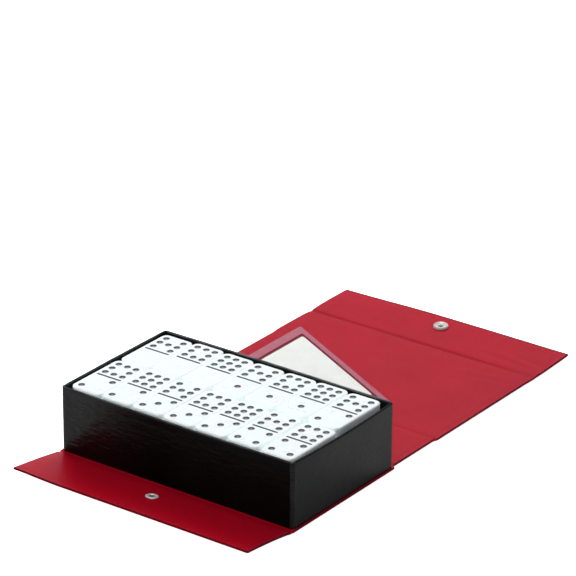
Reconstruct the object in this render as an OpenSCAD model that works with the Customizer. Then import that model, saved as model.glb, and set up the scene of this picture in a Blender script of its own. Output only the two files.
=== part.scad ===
// Boxed domino set: a black tray packed with four layers of tiles, glued to the
// base of a folding vinyl cover that is laid open.
//
// Frame: +X along the tray's long side, +Y towards the spine of the cover, +Z up.
// Origin: centre of the tray's footprint, on the table.

/* [Tile] */
// Width of one tile
tile_w = 25.0; // [24:0.1:25]
// Length of one tile
tile_l = 50.5; // [49:0.1:50.5]
// Thickness of one tile
tile_t = 11.4; // [10.8:0.1:11.4]
// Plan radius of a tile's four corners
tile_corner_r = 4.5; // [2:0.1:5.5]
// Diameter of a pip at the tile's face
pip_d = 4.2; // [3:0.1:5]
// Depth of a pip
pip_depth = 0.75; // [0.3:0.05:1.2]
// Spacing of the pips in each half's grid of three by three
pip_pitch = 7.2; // [6:0.1:7.6]
// Distance from a tile's centre to the centre of each half's grid
pip_half = 12.4; // [12:0.1:12.8]
// Length of the divider groove
divider_l = 20.3; // [10:0.1:22]
// Width of the divider groove
divider_w = 1.2; // [0.6:0.1:1.4]
// Depth of the divider groove
divider_depth = 0.5; // [0.2:0.05:1]

/* [Tray] */
// Outside width of the tray
tray_w = 188.8; // [188.8:0.1:190]
// Outside depth of the tray
tray_d = 111.6; // [111.6:0.1:112.4]
// Outside height of the tray
tray_h = 46.9; // [44:0.1:47.5]
// Plan radius of the tray's outside corners
tray_corner_r = 2.8; // [2.2:0.1:4]
// Thickness of the chipboard walls
wall_board_t = 1.4; // [1:0.1:1.4]
// Thickness of the chipboard floor
floor_board_t = 1.9; // [1.4:0.1:1.9]
// Thickness of the leatherette wrap and of the paper lining
wrap_t = 0.25; // [0.15:0.05:0.25]
// Depth that the wrap is turned in below the rim
turn_in = 14; // [6:1:25]

/* [Cover] */
// Thickness of a finished cover panel
panel_t = 2.5; // [2.3:0.1:2.5]
// Thickness of one vinyl sheet
vinyl_t = 0.4; // [0.3:0.05:0.5]
// Width of the welded border round each panel
border_w = 3.5; // [2.5:0.1:5]
// Half width of a fold's bare crease
crease_half = 1.6; // [1.2:0.1:2]
// Thickness of the welded crease strip
crease_t = 0.8; // [0.6:0.1:0.9]
// Distance from the tray's centre forward to the front fold
fold_front = 57.6; // [57.6:0.1:58.4]
// Distance from the tray's centre back to the spine fold
fold_back = 57.2; // [57.2:0.1:58]
// Distance between the spine's two folds
spine_pitch = 48.9; // [48.9:0.1:50]
// Distance between the lid's two folds
lid_pitch = 119.6; // [119.6:0.1:121]
// Length of the front flap from its fold
front_flap_l = 47.6; // [40:0.1:48]
// Length of the snap flap from its fold
snap_flap_l = 45.0; // [40:0.1:47]
// Width of the base panel
base_w = 191.4; // [190:0.1:194]
// Width of the spine panel
spine_w = 186.6; // [184:0.1:190]
// Width of the lid panel
lid_w = 189.2; // [188:0.1:192]
// Width of the front flap
front_flap_w = 190.8; // [186:0.1:192]
// Width of the snap flap
snap_flap_w = 190.4; // [186:0.1:192]
// Radius of the flaps' outer corners
flap_corner_r = 1.5; // [1.5:0.1:8]
// Rise of the front flap, which rests on its stud, in degrees
front_flap_rise = 6.5; // [6.5:0.1:9]
// Rise of the snap flap, which rests on its cap, in degrees
snap_flap_rise = 2.5; // [2.5:0.1:5]

/* [Snap] */
// Distance from the front fold to the stud
stud_d = 19.6; // [19:0.1:22]
// Offset of the snap from the cover's centre line
snap_x = -2.2; // [-3:0.1:0]
// Radius of the stud's nub
nub_r = 1.75; // [1.5:0.05:1.8]
// Radius of the socket's bore
socket_bore_r = 1.95; // [1.9:0.05:2.2]
// Outside radius of the socket
socket_r = 5.4; // [4.4:0.1:5.4]
// Radius of the post's washer
post_r = 4.5; // [4:0.1:5]
// Radius of the domed cap
cap_r = 6.2; // [5.5:0.1:7]

/* [Pocket] */
// Left edge of the pocket, from the lid's centre line
pocket_left = 84.5; // [80:0.1:87]
// Right tip of the pocket, from the lid's centre line
pocket_right = 42.2; // [30:0.1:60]
// Distance from the lid's fold to the pocket's foot
pocket_foot = 26.5; // [10:0.1:26.5]
// Height of the pocket's tip above its foot
pocket_rise = 65.8; // [50:0.1:65.8]
// Width of the pocket's left weld
pocket_weld = 9.5; // [4:0.1:12]
// Width of the pocket's foot weld
pocket_foot_weld = 2.0; // [1.5:0.1:3]
// Thickness of the clear sheet
pocket_t = 0.25; // [0.2:0.05:0.3]
// Thickness of the card
card_t = 0.25; // [0.2:0.05:0.3]

/* [Hidden] */

eps = 0.02;               // clearance round each board
over = 1;                 // how far a cutter runs past the face it cuts
facets = 48;
z_in = panel_t;           // height of the cover's inner face when laid flat
tray_z = panel_t;         // the tray stands on the base panel
rim_z = tray_z + tray_h;
cavity_z = tray_z + 2 * wrap_t + floor_board_t;
y_lid = fold_back + spine_pitch;
y_snap = y_lid + lid_pitch;
// the socket meets the stud when the cover is shut
socket_d = spine_pitch - stud_d;

black = [0.07, 0.07, 0.08];
grey_board = [0.55, 0.52, 0.48];
red = [0.70, 0.10, 0.20];
deep_red = [0.50, 0.02, 0.05];
nickel = [0.80, 0.80, 0.78];
ivory = [0.94, 0.97, 0.98];
clear_pink = [0.9, 0.75, 0.78];
card_white = [0.93, 0.93, 0.92];

// ---------------------------------------------------------------- helpers

// upright cylinder on the Z axis, standing on height z
module rod(r, z, h) {
  translate([0, 0, z]) cylinder(r = r, h = h, $fn = facets);
}

// upright prism on a rounded rectangle, centred in plan, from z0 to z1
module rounded_prism(width, depth, z0, z1, r) {
  h = z1 - z0;
  translate([-(width / 2 - r), -depth / 2, z0]) cube([width - 2 * r, depth, h]);
  translate([-width / 2, -(depth / 2 - r), z0]) cube([width, depth - 2 * r, h]);
  for (sx = [-1, 1], sy = [-1, 1])
    translate([sx * (width / 2 - r), sy * (depth / 2 - r), 0]) rod(r, z0, h);
}

// ---------------------------------------------------------------- tiles

pip_r = pip_d / 2;
pip_sphere_r = (pip_r * pip_r + pip_depth * pip_depth) / (2 * pip_depth);
groove_cut_h = 2;         // height of the divider's cutter

// whether value n has a pip at step (u, v) of the grid: u to the right, v to the back
function has_pip(n, u, v) =
  u == 0 && v == 0 ? n % 2 == 1 :
  u == v ? n >= 2 :
  u == -v ? n >= 4 :
  v == 0 ? n >= 6 :
  n >= 8;

// tile with value a in its back half and b in its front half
module domino(a, b) {
  difference() {
    rounded_prism(tile_w, tile_l, 0, tile_t, tile_corner_r);
    for (half = [[a, 1], [b, -1]], u = [-1:1], v = [-1:1])
      if (has_pip(half[0], u, v))
        translate([u * pip_pitch, half[1] * pip_half + v * pip_pitch,
                   tile_t - pip_depth + pip_sphere_r])
          sphere(r = pip_sphere_r, $fn = facets);
    translate([-divider_l / 2, -divider_w / 2, tile_t - divider_depth])
      cube([divider_l, divider_w, groove_cut_h]);
  }
}

// underside of a layer, counted from 0 at the bottom
function layer_z(level) = cavity_z + level * tile_t;

full_row = 7;             // tiles in a full row
row_pitch = 25.6;         // spacing of the tiles in a full row
row_y = 25.6;             // distance of each row's centre line from the tray's
sparse_row = 6;           // tiles in the third layer's back row
sparse_pitch = 31.6;      // their spacing

// the two lower layers hold every pair of values up to six
six_pairs = [for (a = [0:6]) for (b = [0:a]) [a, b]];
layer_1_pairs = [for (i = [0:13]) six_pairs[i]];
layer_2_pairs = [for (i = [14:27]) six_pairs[i]];
layer_3_pairs = [
  [9, 4], [7, 5], [8, 5], [9, 5], [7, 6], [8, 6],
  [9, 6], [7, 7], [8, 7], [9, 7], [8, 8], [9, 8], [9, 9]
];

// a back row of back_n tiles and a full front row, both filled from the left
module tile_layer(pairs, level, back_n = full_row, back_pitch = row_pitch) {
  color(ivory)
    for (i = [0:len(pairs) - 1])
      translate([i < back_n ? (i - (back_n - 1) / 2) * back_pitch
                            : (i - back_n - (full_row - 1) / 2) * row_pitch,
                 i < back_n ? row_y : -row_y,
                 layer_z(level)])
        domino(pairs[i][0], pairs[i][1]);
}
module tiles_layer_1() { tile_layer(layer_1_pairs, 0); }
module tiles_layer_2() { tile_layer(layer_2_pairs, 1); }
module tiles_layer_3() { tile_layer(layer_3_pairs, 2, sparse_row, sparse_pitch); }

// top layer, whose tiles lie a little out of line: back value, front value, x, y
top_tiles = [
  // back row
  [7, 0, -76.0, 23.1], [8, 0, -50.9, 25.0], [9, 0, -25.5, 24.3], [7, 1, 0.0, 24.1],
  [8, 1, 25.7, 24.5], [9, 1, 50.8, 24.9], [7, 2, 76.9, 24.4],
  // front row
  [8, 2, -76.3, -27.8], [9, 2, -51.0, -27.4], [7, 3, -25.7, -27.4], [8, 3, 0.3, -28.4],
  [9, 3, 25.6, -28.1], [7, 4, 51.7, -27.8], [8, 4, 79.0, -28.5]
];
module top_tile(i) {
  tile = top_tiles[i];
  color(ivory) translate([tile[2], tile[3], layer_z(3)]) domino(tile[0], tile[1]);
}
module tile_7_0() { top_tile(0); }
module tile_8_0() { top_tile(1); }
module tile_9_0() { top_tile(2); }
module tile_7_1() { top_tile(3); }
module tile_8_1() { top_tile(4); }
module tile_9_1() { top_tile(5); }
module tile_7_2() { top_tile(6); }
module tile_8_2() { top_tile(7); }
module tile_9_2() { top_tile(8); }
module tile_7_3() { top_tile(9); }
module tile_8_3() { top_tile(10); }
module tile_9_3() { top_tile(11); }
module tile_7_4() { top_tile(12); }
module tile_8_4() { top_tile(13); }

// ---------------------------------------------------------------- tray

// insets from the tray's outside
board_in = wrap_t + wall_board_t;   // inner face of the wall boards
wall_t = board_in + wrap_t;         // inner face of the finished wall
slab_out = wrap_t + eps;            // outer face of a wall slab
slab_in = board_in - eps;           // inner face of a wall slab
min_corner_r = 0.3;
turn_lap = 0.05;                    // lap of the turned-in wrap into the rim
slab_z0 = tray_z + wrap_t + eps;
slab_z1 = rim_z - wrap_t - eps;
slab_h = slab_z1 - slab_z0;

// upright prism on the tray's footprint, moved in by inset on every side
module tray_prism(inset, z0, z1) {
  rounded_prism(tray_w - 2 * inset, tray_d - 2 * inset, z0, z1,
                max(tray_corner_r - inset, min_corner_r));
}
// front wall, over the tray's full width
module long_wall() {
  intersection() {
    tray_prism(slab_out, slab_z0, slab_z1);
    translate([-tray_w / 2, -tray_d / 2 + slab_out, slab_z0])
      cube([tray_w, slab_in - slab_out, slab_h]);
  }
}
// left wall, between the long walls
module end_wall() {
  intersection() {
    tray_prism(slab_out, slab_z0, slab_z1);
    translate([-tray_w / 2 + slab_out, -tray_d / 2 + slab_in + eps, slab_z0])
      cube([slab_in - slab_out, tray_d - 2 * slab_in - 2 * eps, slab_h]);
  }
}
module tray_front_board() { color(grey_board) long_wall(); }
module tray_back_board() { color(grey_board) mirror([0, 1, 0]) long_wall(); }
module tray_left_board() { color(grey_board) end_wall(); }
module tray_right_board() { color(grey_board) mirror([1, 0, 0]) end_wall(); }
module tray_floor_board() {
  color(grey_board) tray_prism(board_in + eps, slab_z0, cavity_z - wrap_t - eps);
}
module tray_wrap() {
  color(black) {
    // skin under the floor, up the walls and over the rim
    difference() {
      tray_prism(0, tray_z, rim_z);
      tray_prism(wrap_t, tray_z + wrap_t, rim_z - wrap_t);
      tray_prism(wall_t, rim_z - wrap_t - over, rim_z + over);
    }
    // turned-in band inside the walls
    difference() {
      tray_prism(board_in, rim_z - turn_in, rim_z - wrap_t + turn_lap);
      tray_prism(wall_t, rim_z - turn_in - over, rim_z + over);
    }
  }
}
module tray_lining() {
  color(black) difference() {
    tray_prism(board_in, cavity_z - wrap_t, rim_z - turn_in - eps);
    tray_prism(wall_t, cavity_z, rim_z);
  }
}

// ---------------------------------------------------------------- cover

panel_corner_r = 1.2;     // corners beside a fold
slice_lap = 0.01;         // lap between the slices of a panel outline
board_hole_r = 5.5;       // hole for the snap in a flap's board
vinyl_hole_r = 2.05;      // hole for the snap's tube in a flap's vinyl
crease_gap = 0.1;         // gap between a crease strip and the outer of its two panels

// A panel is drawn in its own frame: the inner face is z = 0 with the panel below it,
// and its fold is the line y = 0 (the base, which has two, is centred on the tray).
// Columns: width, near y, far y, radius of the far corners, y of the snap hole or 0
base_panel = [base_w, crease_half - fold_front, fold_back - crease_half, panel_corner_r, 0];
spine_panel = [spine_w, crease_half, spine_pitch - crease_half, panel_corner_r, 0];
lid_panel = [lid_w, crease_half, lid_pitch - crease_half, panel_corner_r, 0];
front_flap_panel = [front_flap_w, crease_half, front_flap_l, flap_corner_r, stud_d];
snap_flap_panel = [snap_flap_w, crease_half, snap_flap_l, flap_corner_r, socket_d];

// places its children on the fold at y, tilted by rise degrees about it
module at_fold(y, rise = 0) {
  translate([0, y, z_in]) rotate([rise, 0, 0]) children();
}
module on_front_flap() {
  at_fold(-fold_front, -front_flap_rise) mirror([0, 1, 0]) children();
}
module on_snap_flap() { at_fold(y_snap, snap_flap_rise) children(); }

// the panel's rounded outline, half the panel thick, standing on z
module panel_prism(panel, z) {
  width = panel[0];
  near = panel[1];
  far = panel[2];
  near_r = panel_corner_r;
  far_r = panel[3];
  h = panel_t / 2;
  translate([-width / 2, near + near_r, z]) cube([width, far - near - near_r - far_r, h]);
  translate([-(width / 2 - near_r), near, z])
    cube([width - 2 * near_r, near_r + slice_lap, h]);
  translate([-(width / 2 - far_r), far - far_r - slice_lap, z])
    cube([width - 2 * far_r, far_r + slice_lap, h]);
  for (sx = [-1, 1]) {
    translate([sx * (width / 2 - near_r), near + near_r, 0]) rod(near_r, z, h);
    translate([sx * (width / 2 - far_r), far - far_r, 0]) rod(far_r, z, h);
  }
}
// block on the panel's rectangle, moved in by inset on every side
module panel_block(panel, inset, z, h) {
  translate([-(panel[0] / 2 - inset), panel[1] + inset, z])
    cube([panel[0] - 2 * inset, panel[2] - panel[1] - 2 * inset, h]);
}
// cutter for the snap hole, if the panel has one, from z up past the inner face
module snap_hole(panel, r, z) {
  if (panel[4] > 0)
    translate([snap_x, panel[4], 0]) rod(r, z, over - z);
}

module panel_board(panel) {
  color(grey_board) difference() {
    panel_block(panel, border_w + eps, -panel_t + vinyl_t + eps,
                panel_t - 2 * vinyl_t - 2 * eps);
    snap_hole(panel, board_hole_r, -panel_t);
  }
}
// each vinyl is half the panel thick at the border and hollowed for the board within it
module panel_inner(panel) {
  difference() {
    panel_prism(panel, -panel_t / 2);
    panel_block(panel, border_w, -panel_t, panel_t - vinyl_t);
    snap_hole(panel, vinyl_hole_r, -panel_t);
  }
}
module panel_outer(panel) {
  color(deep_red) difference() {
    panel_prism(panel, -panel_t);
    panel_block(panel, border_w, -panel_t + vinyl_t, panel_t);
    snap_hole(panel, vinyl_hole_r, -panel_t - over);
  }
}
// welded strip across a fold, joined to the panel on its low-y side
module crease_strip(width) {
  color(deep_red) translate([-width / 2, -crease_half, -panel_t / 2 - crease_t / 2])
    cube([width, 2 * crease_half - crease_gap, crease_t]);
}

module base_board() { at_fold(0) panel_board(base_panel); }
module base_vinyl_inner() { color(red) at_fold(0) panel_inner(base_panel); }
module base_vinyl_outer() { at_fold(0) panel_outer(base_panel); }

module front_flap_board() { on_front_flap() panel_board(front_flap_panel); }
module front_flap_vinyl_inner() {
  color(deep_red) on_front_flap() panel_inner(front_flap_panel);
}
module front_flap_vinyl_outer() { on_front_flap() panel_outer(front_flap_panel); }

module spine_board() { at_fold(fold_back) panel_board(spine_panel); }
module spine_vinyl_inner() { color(red) at_fold(fold_back) panel_inner(spine_panel); }
module spine_vinyl_outer() { at_fold(fold_back) panel_outer(spine_panel); }

module lid_board() { at_fold(y_lid) panel_board(lid_panel); }
module lid_vinyl_inner() { color(red) at_fold(y_lid) panel_inner(lid_panel); }
module lid_vinyl_outer() { at_fold(y_lid) panel_outer(lid_panel); }

module snap_flap_board() { on_snap_flap() panel_board(snap_flap_panel); }
module snap_flap_vinyl_inner() { color(red) on_snap_flap() panel_inner(snap_flap_panel); }
module snap_flap_vinyl_outer() { on_snap_flap() panel_outer(snap_flap_panel); }

// mirrored, so that this strip too is joined to the base
module crease_front() { at_fold(-fold_front) mirror([0, 1, 0]) crease_strip(spine_w); }
module crease_back() { at_fold(fold_back) crease_strip(spine_w - 2); }
module crease_lid() { at_fold(y_lid) crease_strip(spine_w - 2); }
module crease_snap_flap() { at_fold(y_snap) crease_strip(spine_w - 1); }

// ---------------------------------------------------------------- snap fastener

washer_t = 0.5;           // thickness of the post's washer and of the stud's flange
tube_r = 2.0;
tube_bore_r = 1.4;
tube_out = 0.2;           // how far the post's tube passes each face of the panel
stud_flange_r = post_r + 0.1;
stud_recess = 0.25;       // depth of the stud's recess for the tube's end
nub_reach = 1.9;          // from the flap's outer face to the nub's end
nub_l = 1.5;
socket_base_h = 1.1;
socket_h = 1.7;
socket_step = 1.1;        // width of the step round the socket
cap_rim_t = 0.4;          // the cap's three slices, from the flap outwards
cap_slope_t = 0.4;
cap_crown_t = 0.3;
cap_slope_r = cap_r - 1.2;
cap_crown_r = cap_r - 3.2;
cap_bore_in = 0.2;        // how far the tube's bore enters the cap

// hollow post: a washer on the flap's inner face with a tube through the panel
module snap_post() {
  color(nickel) on_front_flap() translate([snap_x, stud_d, 0]) difference() {
    union() {
      rod(post_r, 0, washer_t);
      rod(tube_r, -panel_t - tube_out, panel_t + 2 * tube_out);
    }
    rod(tube_bore_r, -panel_t - over, panel_t + 3 * over);
  }
}
// stud: a flange on the flap's outer face with the nub that the socket grips
module snap_stud() {
  color(nickel) on_front_flap() translate([snap_x, stud_d, -panel_t]) difference() {
    union() {
      rod(stud_flange_r, -washer_t, washer_t);
      rod(nub_r, -nub_reach, nub_l);
    }
    rod(vinyl_hole_r, -stud_recess, over);
  }
}
// socket: a raised ring on the snap flap's inner face
module snap_socket() {
  color(nickel) on_snap_flap() translate([snap_x, socket_d, 0]) difference() {
    union() {
      rod(socket_r, 0, socket_base_h);
      rod(socket_r - socket_step, 0, socket_h);
    }
    rod(socket_bore_r, -over, 4 * over);
  }
}
// cap: a shallow dome on the snap flap's outer face with a tube through the panel
module snap_cap() {
  color(nickel) on_snap_flap() translate([snap_x, socket_d, -panel_t]) difference() {
    union() {
      rod(cap_r, -cap_rim_t, cap_rim_t);
      translate([0, 0, -cap_rim_t - cap_slope_t])
        cylinder(r1 = cap_slope_r, r2 = cap_r, h = cap_slope_t, $fn = facets);
      translate([0, 0, -cap_rim_t - cap_slope_t - cap_crown_t])
        cylinder(r1 = cap_crown_r, r2 = cap_slope_r, h = cap_crown_t, $fn = facets);
      rod(tube_r, 0, panel_t);
    }
    rod(tube_bore_r, -cap_bore_in, panel_t + over);
  }
}

// ---------------------------------------------------------------- pocket and card

pocket_w = pocket_left + pocket_right;
mouth_slope = pocket_rise / pocket_w;
card_gap = 0.1;           // spare height for the card under the clear sheet
weld_lap = 0.05;          // lap of the welds into the clear sheet
weld_h = card_t + card_gap + weld_lap;
card_side_gap = 2.0;      // from the left weld to the card
card_foot_gap = 0.4;      // from the foot weld to the card
card_drop = 6.8;          // from the mouth down to the card's slope, along y
card_tip_cut = 4;         // length cut off the card's right tip
// the card's top corners: x from its left edge, and the run that, times the mouth's
// slope, gives the drop in y from where the card's slope meets that edge
card_top = [[3, 3], [1, 3.4], [0, 6]];

module pocket_outline(z, h) {
  translate([0, 0, z]) linear_extrude(height = h)
    polygon([
      [-pocket_left, pocket_foot],
      [pocket_right, pocket_foot],
      [-pocket_left, pocket_foot + pocket_rise]
    ]);
}
// corner pocket of clear sheet on the lid's inner face: welded along its left side
// and its foot, and open along the slope
module pocket_sheet() {
  color(clear_pink) at_fold(y_lid) {
    pocket_outline(card_t + card_gap, pocket_t);
    intersection() {
      pocket_outline(0, weld_h);
      translate([-pocket_left, pocket_foot, 0]) union() {
        cube([pocket_weld, pocket_rise, weld_h]);
        cube([pocket_w, pocket_foot_weld, weld_h]);
      }
    }
  }
}
// card: foot and left side lie clear of the welds, the slope is parallel to the mouth
module score_card() {
  left = -pocket_left + pocket_weld + card_side_gap;
  foot = pocket_foot + pocket_foot_weld + card_foot_gap;
  top = pocket_foot + pocket_rise - (left + pocket_left) * mouth_slope - card_drop;
  right = left + (top - foot) / mouth_slope - card_tip_cut;
  color(card_white) at_fold(y_lid) translate([0, 0, card_gap / 2])
    linear_extrude(height = card_t)
      polygon([
        [left, foot],
        [right, foot],
        [right, foot + card_tip_cut * mouth_slope],
        for (corner = card_top) [left + corner[0], top - corner[1] * mouth_slope]
      ]);
}

// ---------------------------------------------------------------- parts

tray_floor_board();
tray_front_board();
tray_back_board();
tray_left_board();
tray_right_board();
tray_wrap();
tray_lining();
base_board();
base_vinyl_inner();
base_vinyl_outer();
crease_front();
crease_back();
front_flap_board();
front_flap_vinyl_inner();
front_flap_vinyl_outer();
snap_post();
snap_stud();
spine_board();
spine_vinyl_inner();
spine_vinyl_outer();
crease_lid();
lid_board();
lid_vinyl_inner();
lid_vinyl_outer();
crease_snap_flap();
pocket_sheet();
score_card();
snap_flap_board();
snap_flap_vinyl_inner();
snap_flap_vinyl_outer();
snap_socket();
snap_cap();
tiles_layer_1();
tiles_layer_2();
tiles_layer_3();
tile_7_0();
tile_8_0();
tile_9_0();
tile_7_1();
tile_8_1();
tile_9_1();
tile_7_2();
tile_8_2();
tile_9_2();
tile_7_3();
tile_8_3();
tile_9_3();
tile_7_4();
tile_8_4();
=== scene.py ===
# A double-nine domino set in its case. A black leatherette tray full of tiles stands on the base
# panel of a red vinyl cover that lies open along Y: front flap towards -Y, then towards +Y the
# spine, the lid with a pocket and card, and the snap flap. X runs from left to right and the
# tray is centred on the origin. Shapes are worked out in mm and turned into metres in make().
import math

import bmesh
import bpy
import numpy as np
from mathutils import Matrix, Vector
from mathutils.geometry import delaunay_2d_cdt


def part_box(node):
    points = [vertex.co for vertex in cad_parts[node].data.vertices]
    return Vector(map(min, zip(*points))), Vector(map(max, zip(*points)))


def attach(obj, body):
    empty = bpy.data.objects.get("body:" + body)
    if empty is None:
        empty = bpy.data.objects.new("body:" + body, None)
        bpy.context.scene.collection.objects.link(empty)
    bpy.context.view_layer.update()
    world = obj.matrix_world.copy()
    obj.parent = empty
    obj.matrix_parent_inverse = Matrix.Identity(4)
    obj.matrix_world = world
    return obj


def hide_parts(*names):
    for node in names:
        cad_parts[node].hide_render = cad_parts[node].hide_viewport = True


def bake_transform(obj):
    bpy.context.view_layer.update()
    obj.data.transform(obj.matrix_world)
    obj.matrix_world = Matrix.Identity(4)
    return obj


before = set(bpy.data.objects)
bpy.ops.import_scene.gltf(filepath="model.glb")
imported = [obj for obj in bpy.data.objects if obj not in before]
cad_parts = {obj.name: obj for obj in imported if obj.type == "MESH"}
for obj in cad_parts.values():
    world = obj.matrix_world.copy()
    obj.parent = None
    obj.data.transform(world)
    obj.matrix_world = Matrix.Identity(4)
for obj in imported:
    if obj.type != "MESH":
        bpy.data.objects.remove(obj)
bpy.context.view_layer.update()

MM = 0.001


# ---------------------------------------------------------------- main sizes, in mm


def box_mm(node):
    low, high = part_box(node)
    return np.array(low) * 1000.0, np.array(high) * 1000.0


TRAY_LOW, TRAY_HIGH = box_mm("tray_wrap")
TRAY_W, TRAY_D = TRAY_HIGH[0] - TRAY_LOW[0], TRAY_HIGH[1] - TRAY_LOW[1]
FOOT_Z, RIM_Z = TRAY_LOW[2], TRAY_HIGH[2]
TRAY_CORNER_R = 2.8
WALL_T = 1.9
WRAP_T = 0.25                                # leatherette and lining sheets
TURN_IN = 14.0                               # leatherette turned in below the rim
CAVITY_Z = box_mm("tiles_layer_1")[0][2]

PANEL_T = FOOT_Z                             # also the height of the panels' inner faces
FRONT_FOLD_Y, SPINE_FOLD_Y, LID_FOLD_Y, SNAP_FOLD_Y = -57.6, 57.2, 106.1, 225.7
SPINE_L, LID_L = LID_FOLD_Y - SPINE_FOLD_Y, SNAP_FOLD_Y - LID_FOLD_Y
FRONT_L, SNAP_L = 47.6, 45.0                 # the flaps, from fold to free end
FRONT_RISE, SNAP_RISE = math.radians(6.5), math.radians(2.5)
CREASE = 1.1                                 # from a fold to the panel's end
BASE_W, SPINE_W, LID_W = 191.4, 186.6, 189.2
FRONT_W = box_mm("front_flap_vinyl_inner")[1][0] * 2
SNAP_W = box_mm("snap_flap_vinyl_inner")[1][0] * 2
SNAP_JOIN_W = (LID_W + SNAP_W) / 2           # at the fold between lid and snap flap

SNAP_X = (box_mm("snap_post")[0][0] + box_mm("snap_post")[1][0]) / 2
STUD_V, SOCKET_V = 19.6, 29.3                # from each flap's fold


# ---------------------------------------------------------------- curves and noise


def ease(start, end, x):
    """Smooth step from 0 at start to 1 at end."""
    t = np.clip((np.asarray(x, float) - start) / (end - start), 0, 1)
    return t * t * (3 - 2 * t)


def bump_at(x, centre, width):
    return np.exp(-(((x - centre) / width) ** 2))


def clip01(values):
    return np.clip(values, 0, 1)


def smooth_min(a, b, width):
    h = clip01(0.5 + 0.5 * (b - a) / width)
    return b * (1 - h) + a * h - width * h * (1 - h)


def lattice(i, j, seed):
    """Hash of a lattice point, from -1 to 1."""
    n = (i * 374761393 + j * 668265263 + seed * 974634777) & 0xFFFFFFFF
    n = ((n ^ (n >> 13)) * 1274126177) & 0xFFFFFFFF
    n = n ^ (n >> 16)
    return (n & 0xFFFF) / 32767.5 - 1.0


def value_noise(x, y, seed):
    """Smooth value noise on a lattice of pitch 1, from -1 to 1."""
    x, y = np.broadcast_arrays(np.asarray(x, float), np.asarray(y, float))
    i, j = np.floor(x).astype(np.int64), np.floor(y).astype(np.int64)
    u, v = x - i, y - j
    u = u * u * u * (u * (u * 6 - 15) + 10)
    v = v * v * v * (v * (v * 6 - 15) + 10)
    low = lattice(i, j, seed) * (1 - u) + lattice(i + 1, j, seed) * u
    high = lattice(i, j + 1, seed) * (1 - u) + lattice(i + 1, j + 1, seed) * u
    return low * (1 - v) + high * v


def layered_noise(x, y, seed):
    """Three octaves of value noise."""
    weights = (1.0, 0.5, 0.25)
    total = 0.0
    for k, weight in enumerate(weights):
        total = total + weight * value_noise(x * 2**k, y * 2**k, seed + 17 * k)
    return total / sum(weights)


# ---------------------------------------------------------------- mesh helpers


def make(name, points, faces, materials, stands=(), body=None, face_materials=None,
         normals=None, attributes=None, smooth=True):
    """An object from points in mm. It rides on body and stands for the CAD nodes named."""
    mesh = bpy.data.meshes.new(name)
    mesh.from_pydata((np.asarray(points, float) * MM).tolist(), [], faces)
    for material in materials:
        mesh.materials.append(material)
    if face_materials is not None:
        mesh.polygons.foreach_set("material_index", np.asarray(face_materials, np.int32))
    mesh.polygons.foreach_set("use_smooth", np.full(len(mesh.polygons), smooth, bool))
    for key, values in (attributes or {}).items():
        attribute = mesh.attributes.new(key, "FLOAT", "POINT")
        attribute.data.foreach_set("value", np.asarray(values, np.float32))
    mesh.update()
    bm = bmesh.new()
    bm.from_mesh(mesh)
    bmesh.ops.recalc_face_normals(bm, faces=bm.faces)
    bm.to_mesh(mesh)
    bm.free()
    if normals is not None:
        mesh.normals_split_custom_set_from_vertices(np.asarray(normals, float).tolist())
    ob = bpy.data.objects.new(name, mesh)
    bpy.context.scene.collection.objects.link(ob)
    if body:
        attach(ob, body)
    if stands:
        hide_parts(*stands)
    return ob


def grid_faces(columns, rows, start=0, closed=False):
    """Quads of a grid whose point (i, j) has index start + j * columns + i."""
    faces = []
    for j in range(rows - 1):
        for i in range(columns if closed else columns - 1):
            a = start + j * columns + i
            b = start + j * columns + (i + 1) % columns
            faces.append((a, b, b + columns, a + columns))
    return faces


def ring_to_ring(count, start_a, start_b):
    """Quads between two closed loops of count points."""
    return [(start_a + i, start_a + (i + 1) % count, start_b + (i + 1) % count, start_b + i)
            for i in range(count)]


def cap(count, start):
    return tuple(range(start, start + count))


def slab_faces(columns, rows):
    """Two equal grids, one after the other, joined all round their border."""
    size = columns * rows
    border = (list(range(columns))
              + [j * columns + columns - 1 for j in range(1, rows)]
              + [size - 2 - i for i in range(columns - 1)]
              + [(rows - 2 - j) * columns for j in range(rows - 2)])
    faces = grid_faces(columns, rows) + grid_faces(columns, rows, size)
    for a, b in zip(border, border[1:] + border[:1]):
        faces.append((a, b, b + size, a + size))
    return faces


def bevel(ob, width):
    modifier = ob.modifiers.new("edge", "BEVEL")
    modifier.width = width * MM
    modifier.segments = 1
    modifier.limit_method = "ANGLE"
    modifier.angle_limit = math.radians(40)
    modifier.harden_normals = False


# ---------------------------------------------------------------- node helpers


def srgb(*channels):
    """Linear RGBA from sRGB channels of 0 to 255."""
    def linear(c):
        c = c / 255.0
        return c / 12.92 if c <= 0.04045 else ((c + 0.055) / 1.055) ** 2.4
    return (*map(linear, channels), 1.0)


def dim(colour, red, green, blue):
    return (colour[0] * red, colour[1] * green, colour[2] * blue, 1.0)


class NodeTree:
    """A short way to write a node tree."""

    def __init__(self, owner):
        owner.use_nodes = True
        self.tree = owner.node_tree
        self.tree.nodes.clear()

    def add(self, kind, **properties):
        node = self.tree.nodes.new(kind)
        for key, value in properties.items():
            setattr(node, key, value)
        return node

    def put(self, socket, value):
        """Link a socket, or set a constant."""
        if isinstance(value, bpy.types.NodeSocket):
            self.tree.links.new(value, socket)
        else:
            socket.default_value = value

    def calc(self, operation, a, b):
        node = self.add("ShaderNodeMath", operation=operation)
        self.put(node.inputs[0], a)
        self.put(node.inputs[1], b)
        return node.outputs[0]

    def fit(self, value, over, to=(0, 1)):
        """Map the range over onto the range to, with smooth ends."""
        node = self.add("ShaderNodeMapRange", interpolation_type="SMOOTHSTEP")
        self.put(node.inputs["Value"], value)
        for key, number in zip(("From Min", "From Max", "To Min", "To Max"), (*over, *to)):
            self.put(node.inputs[key], number)
        return node.outputs[0]


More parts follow.
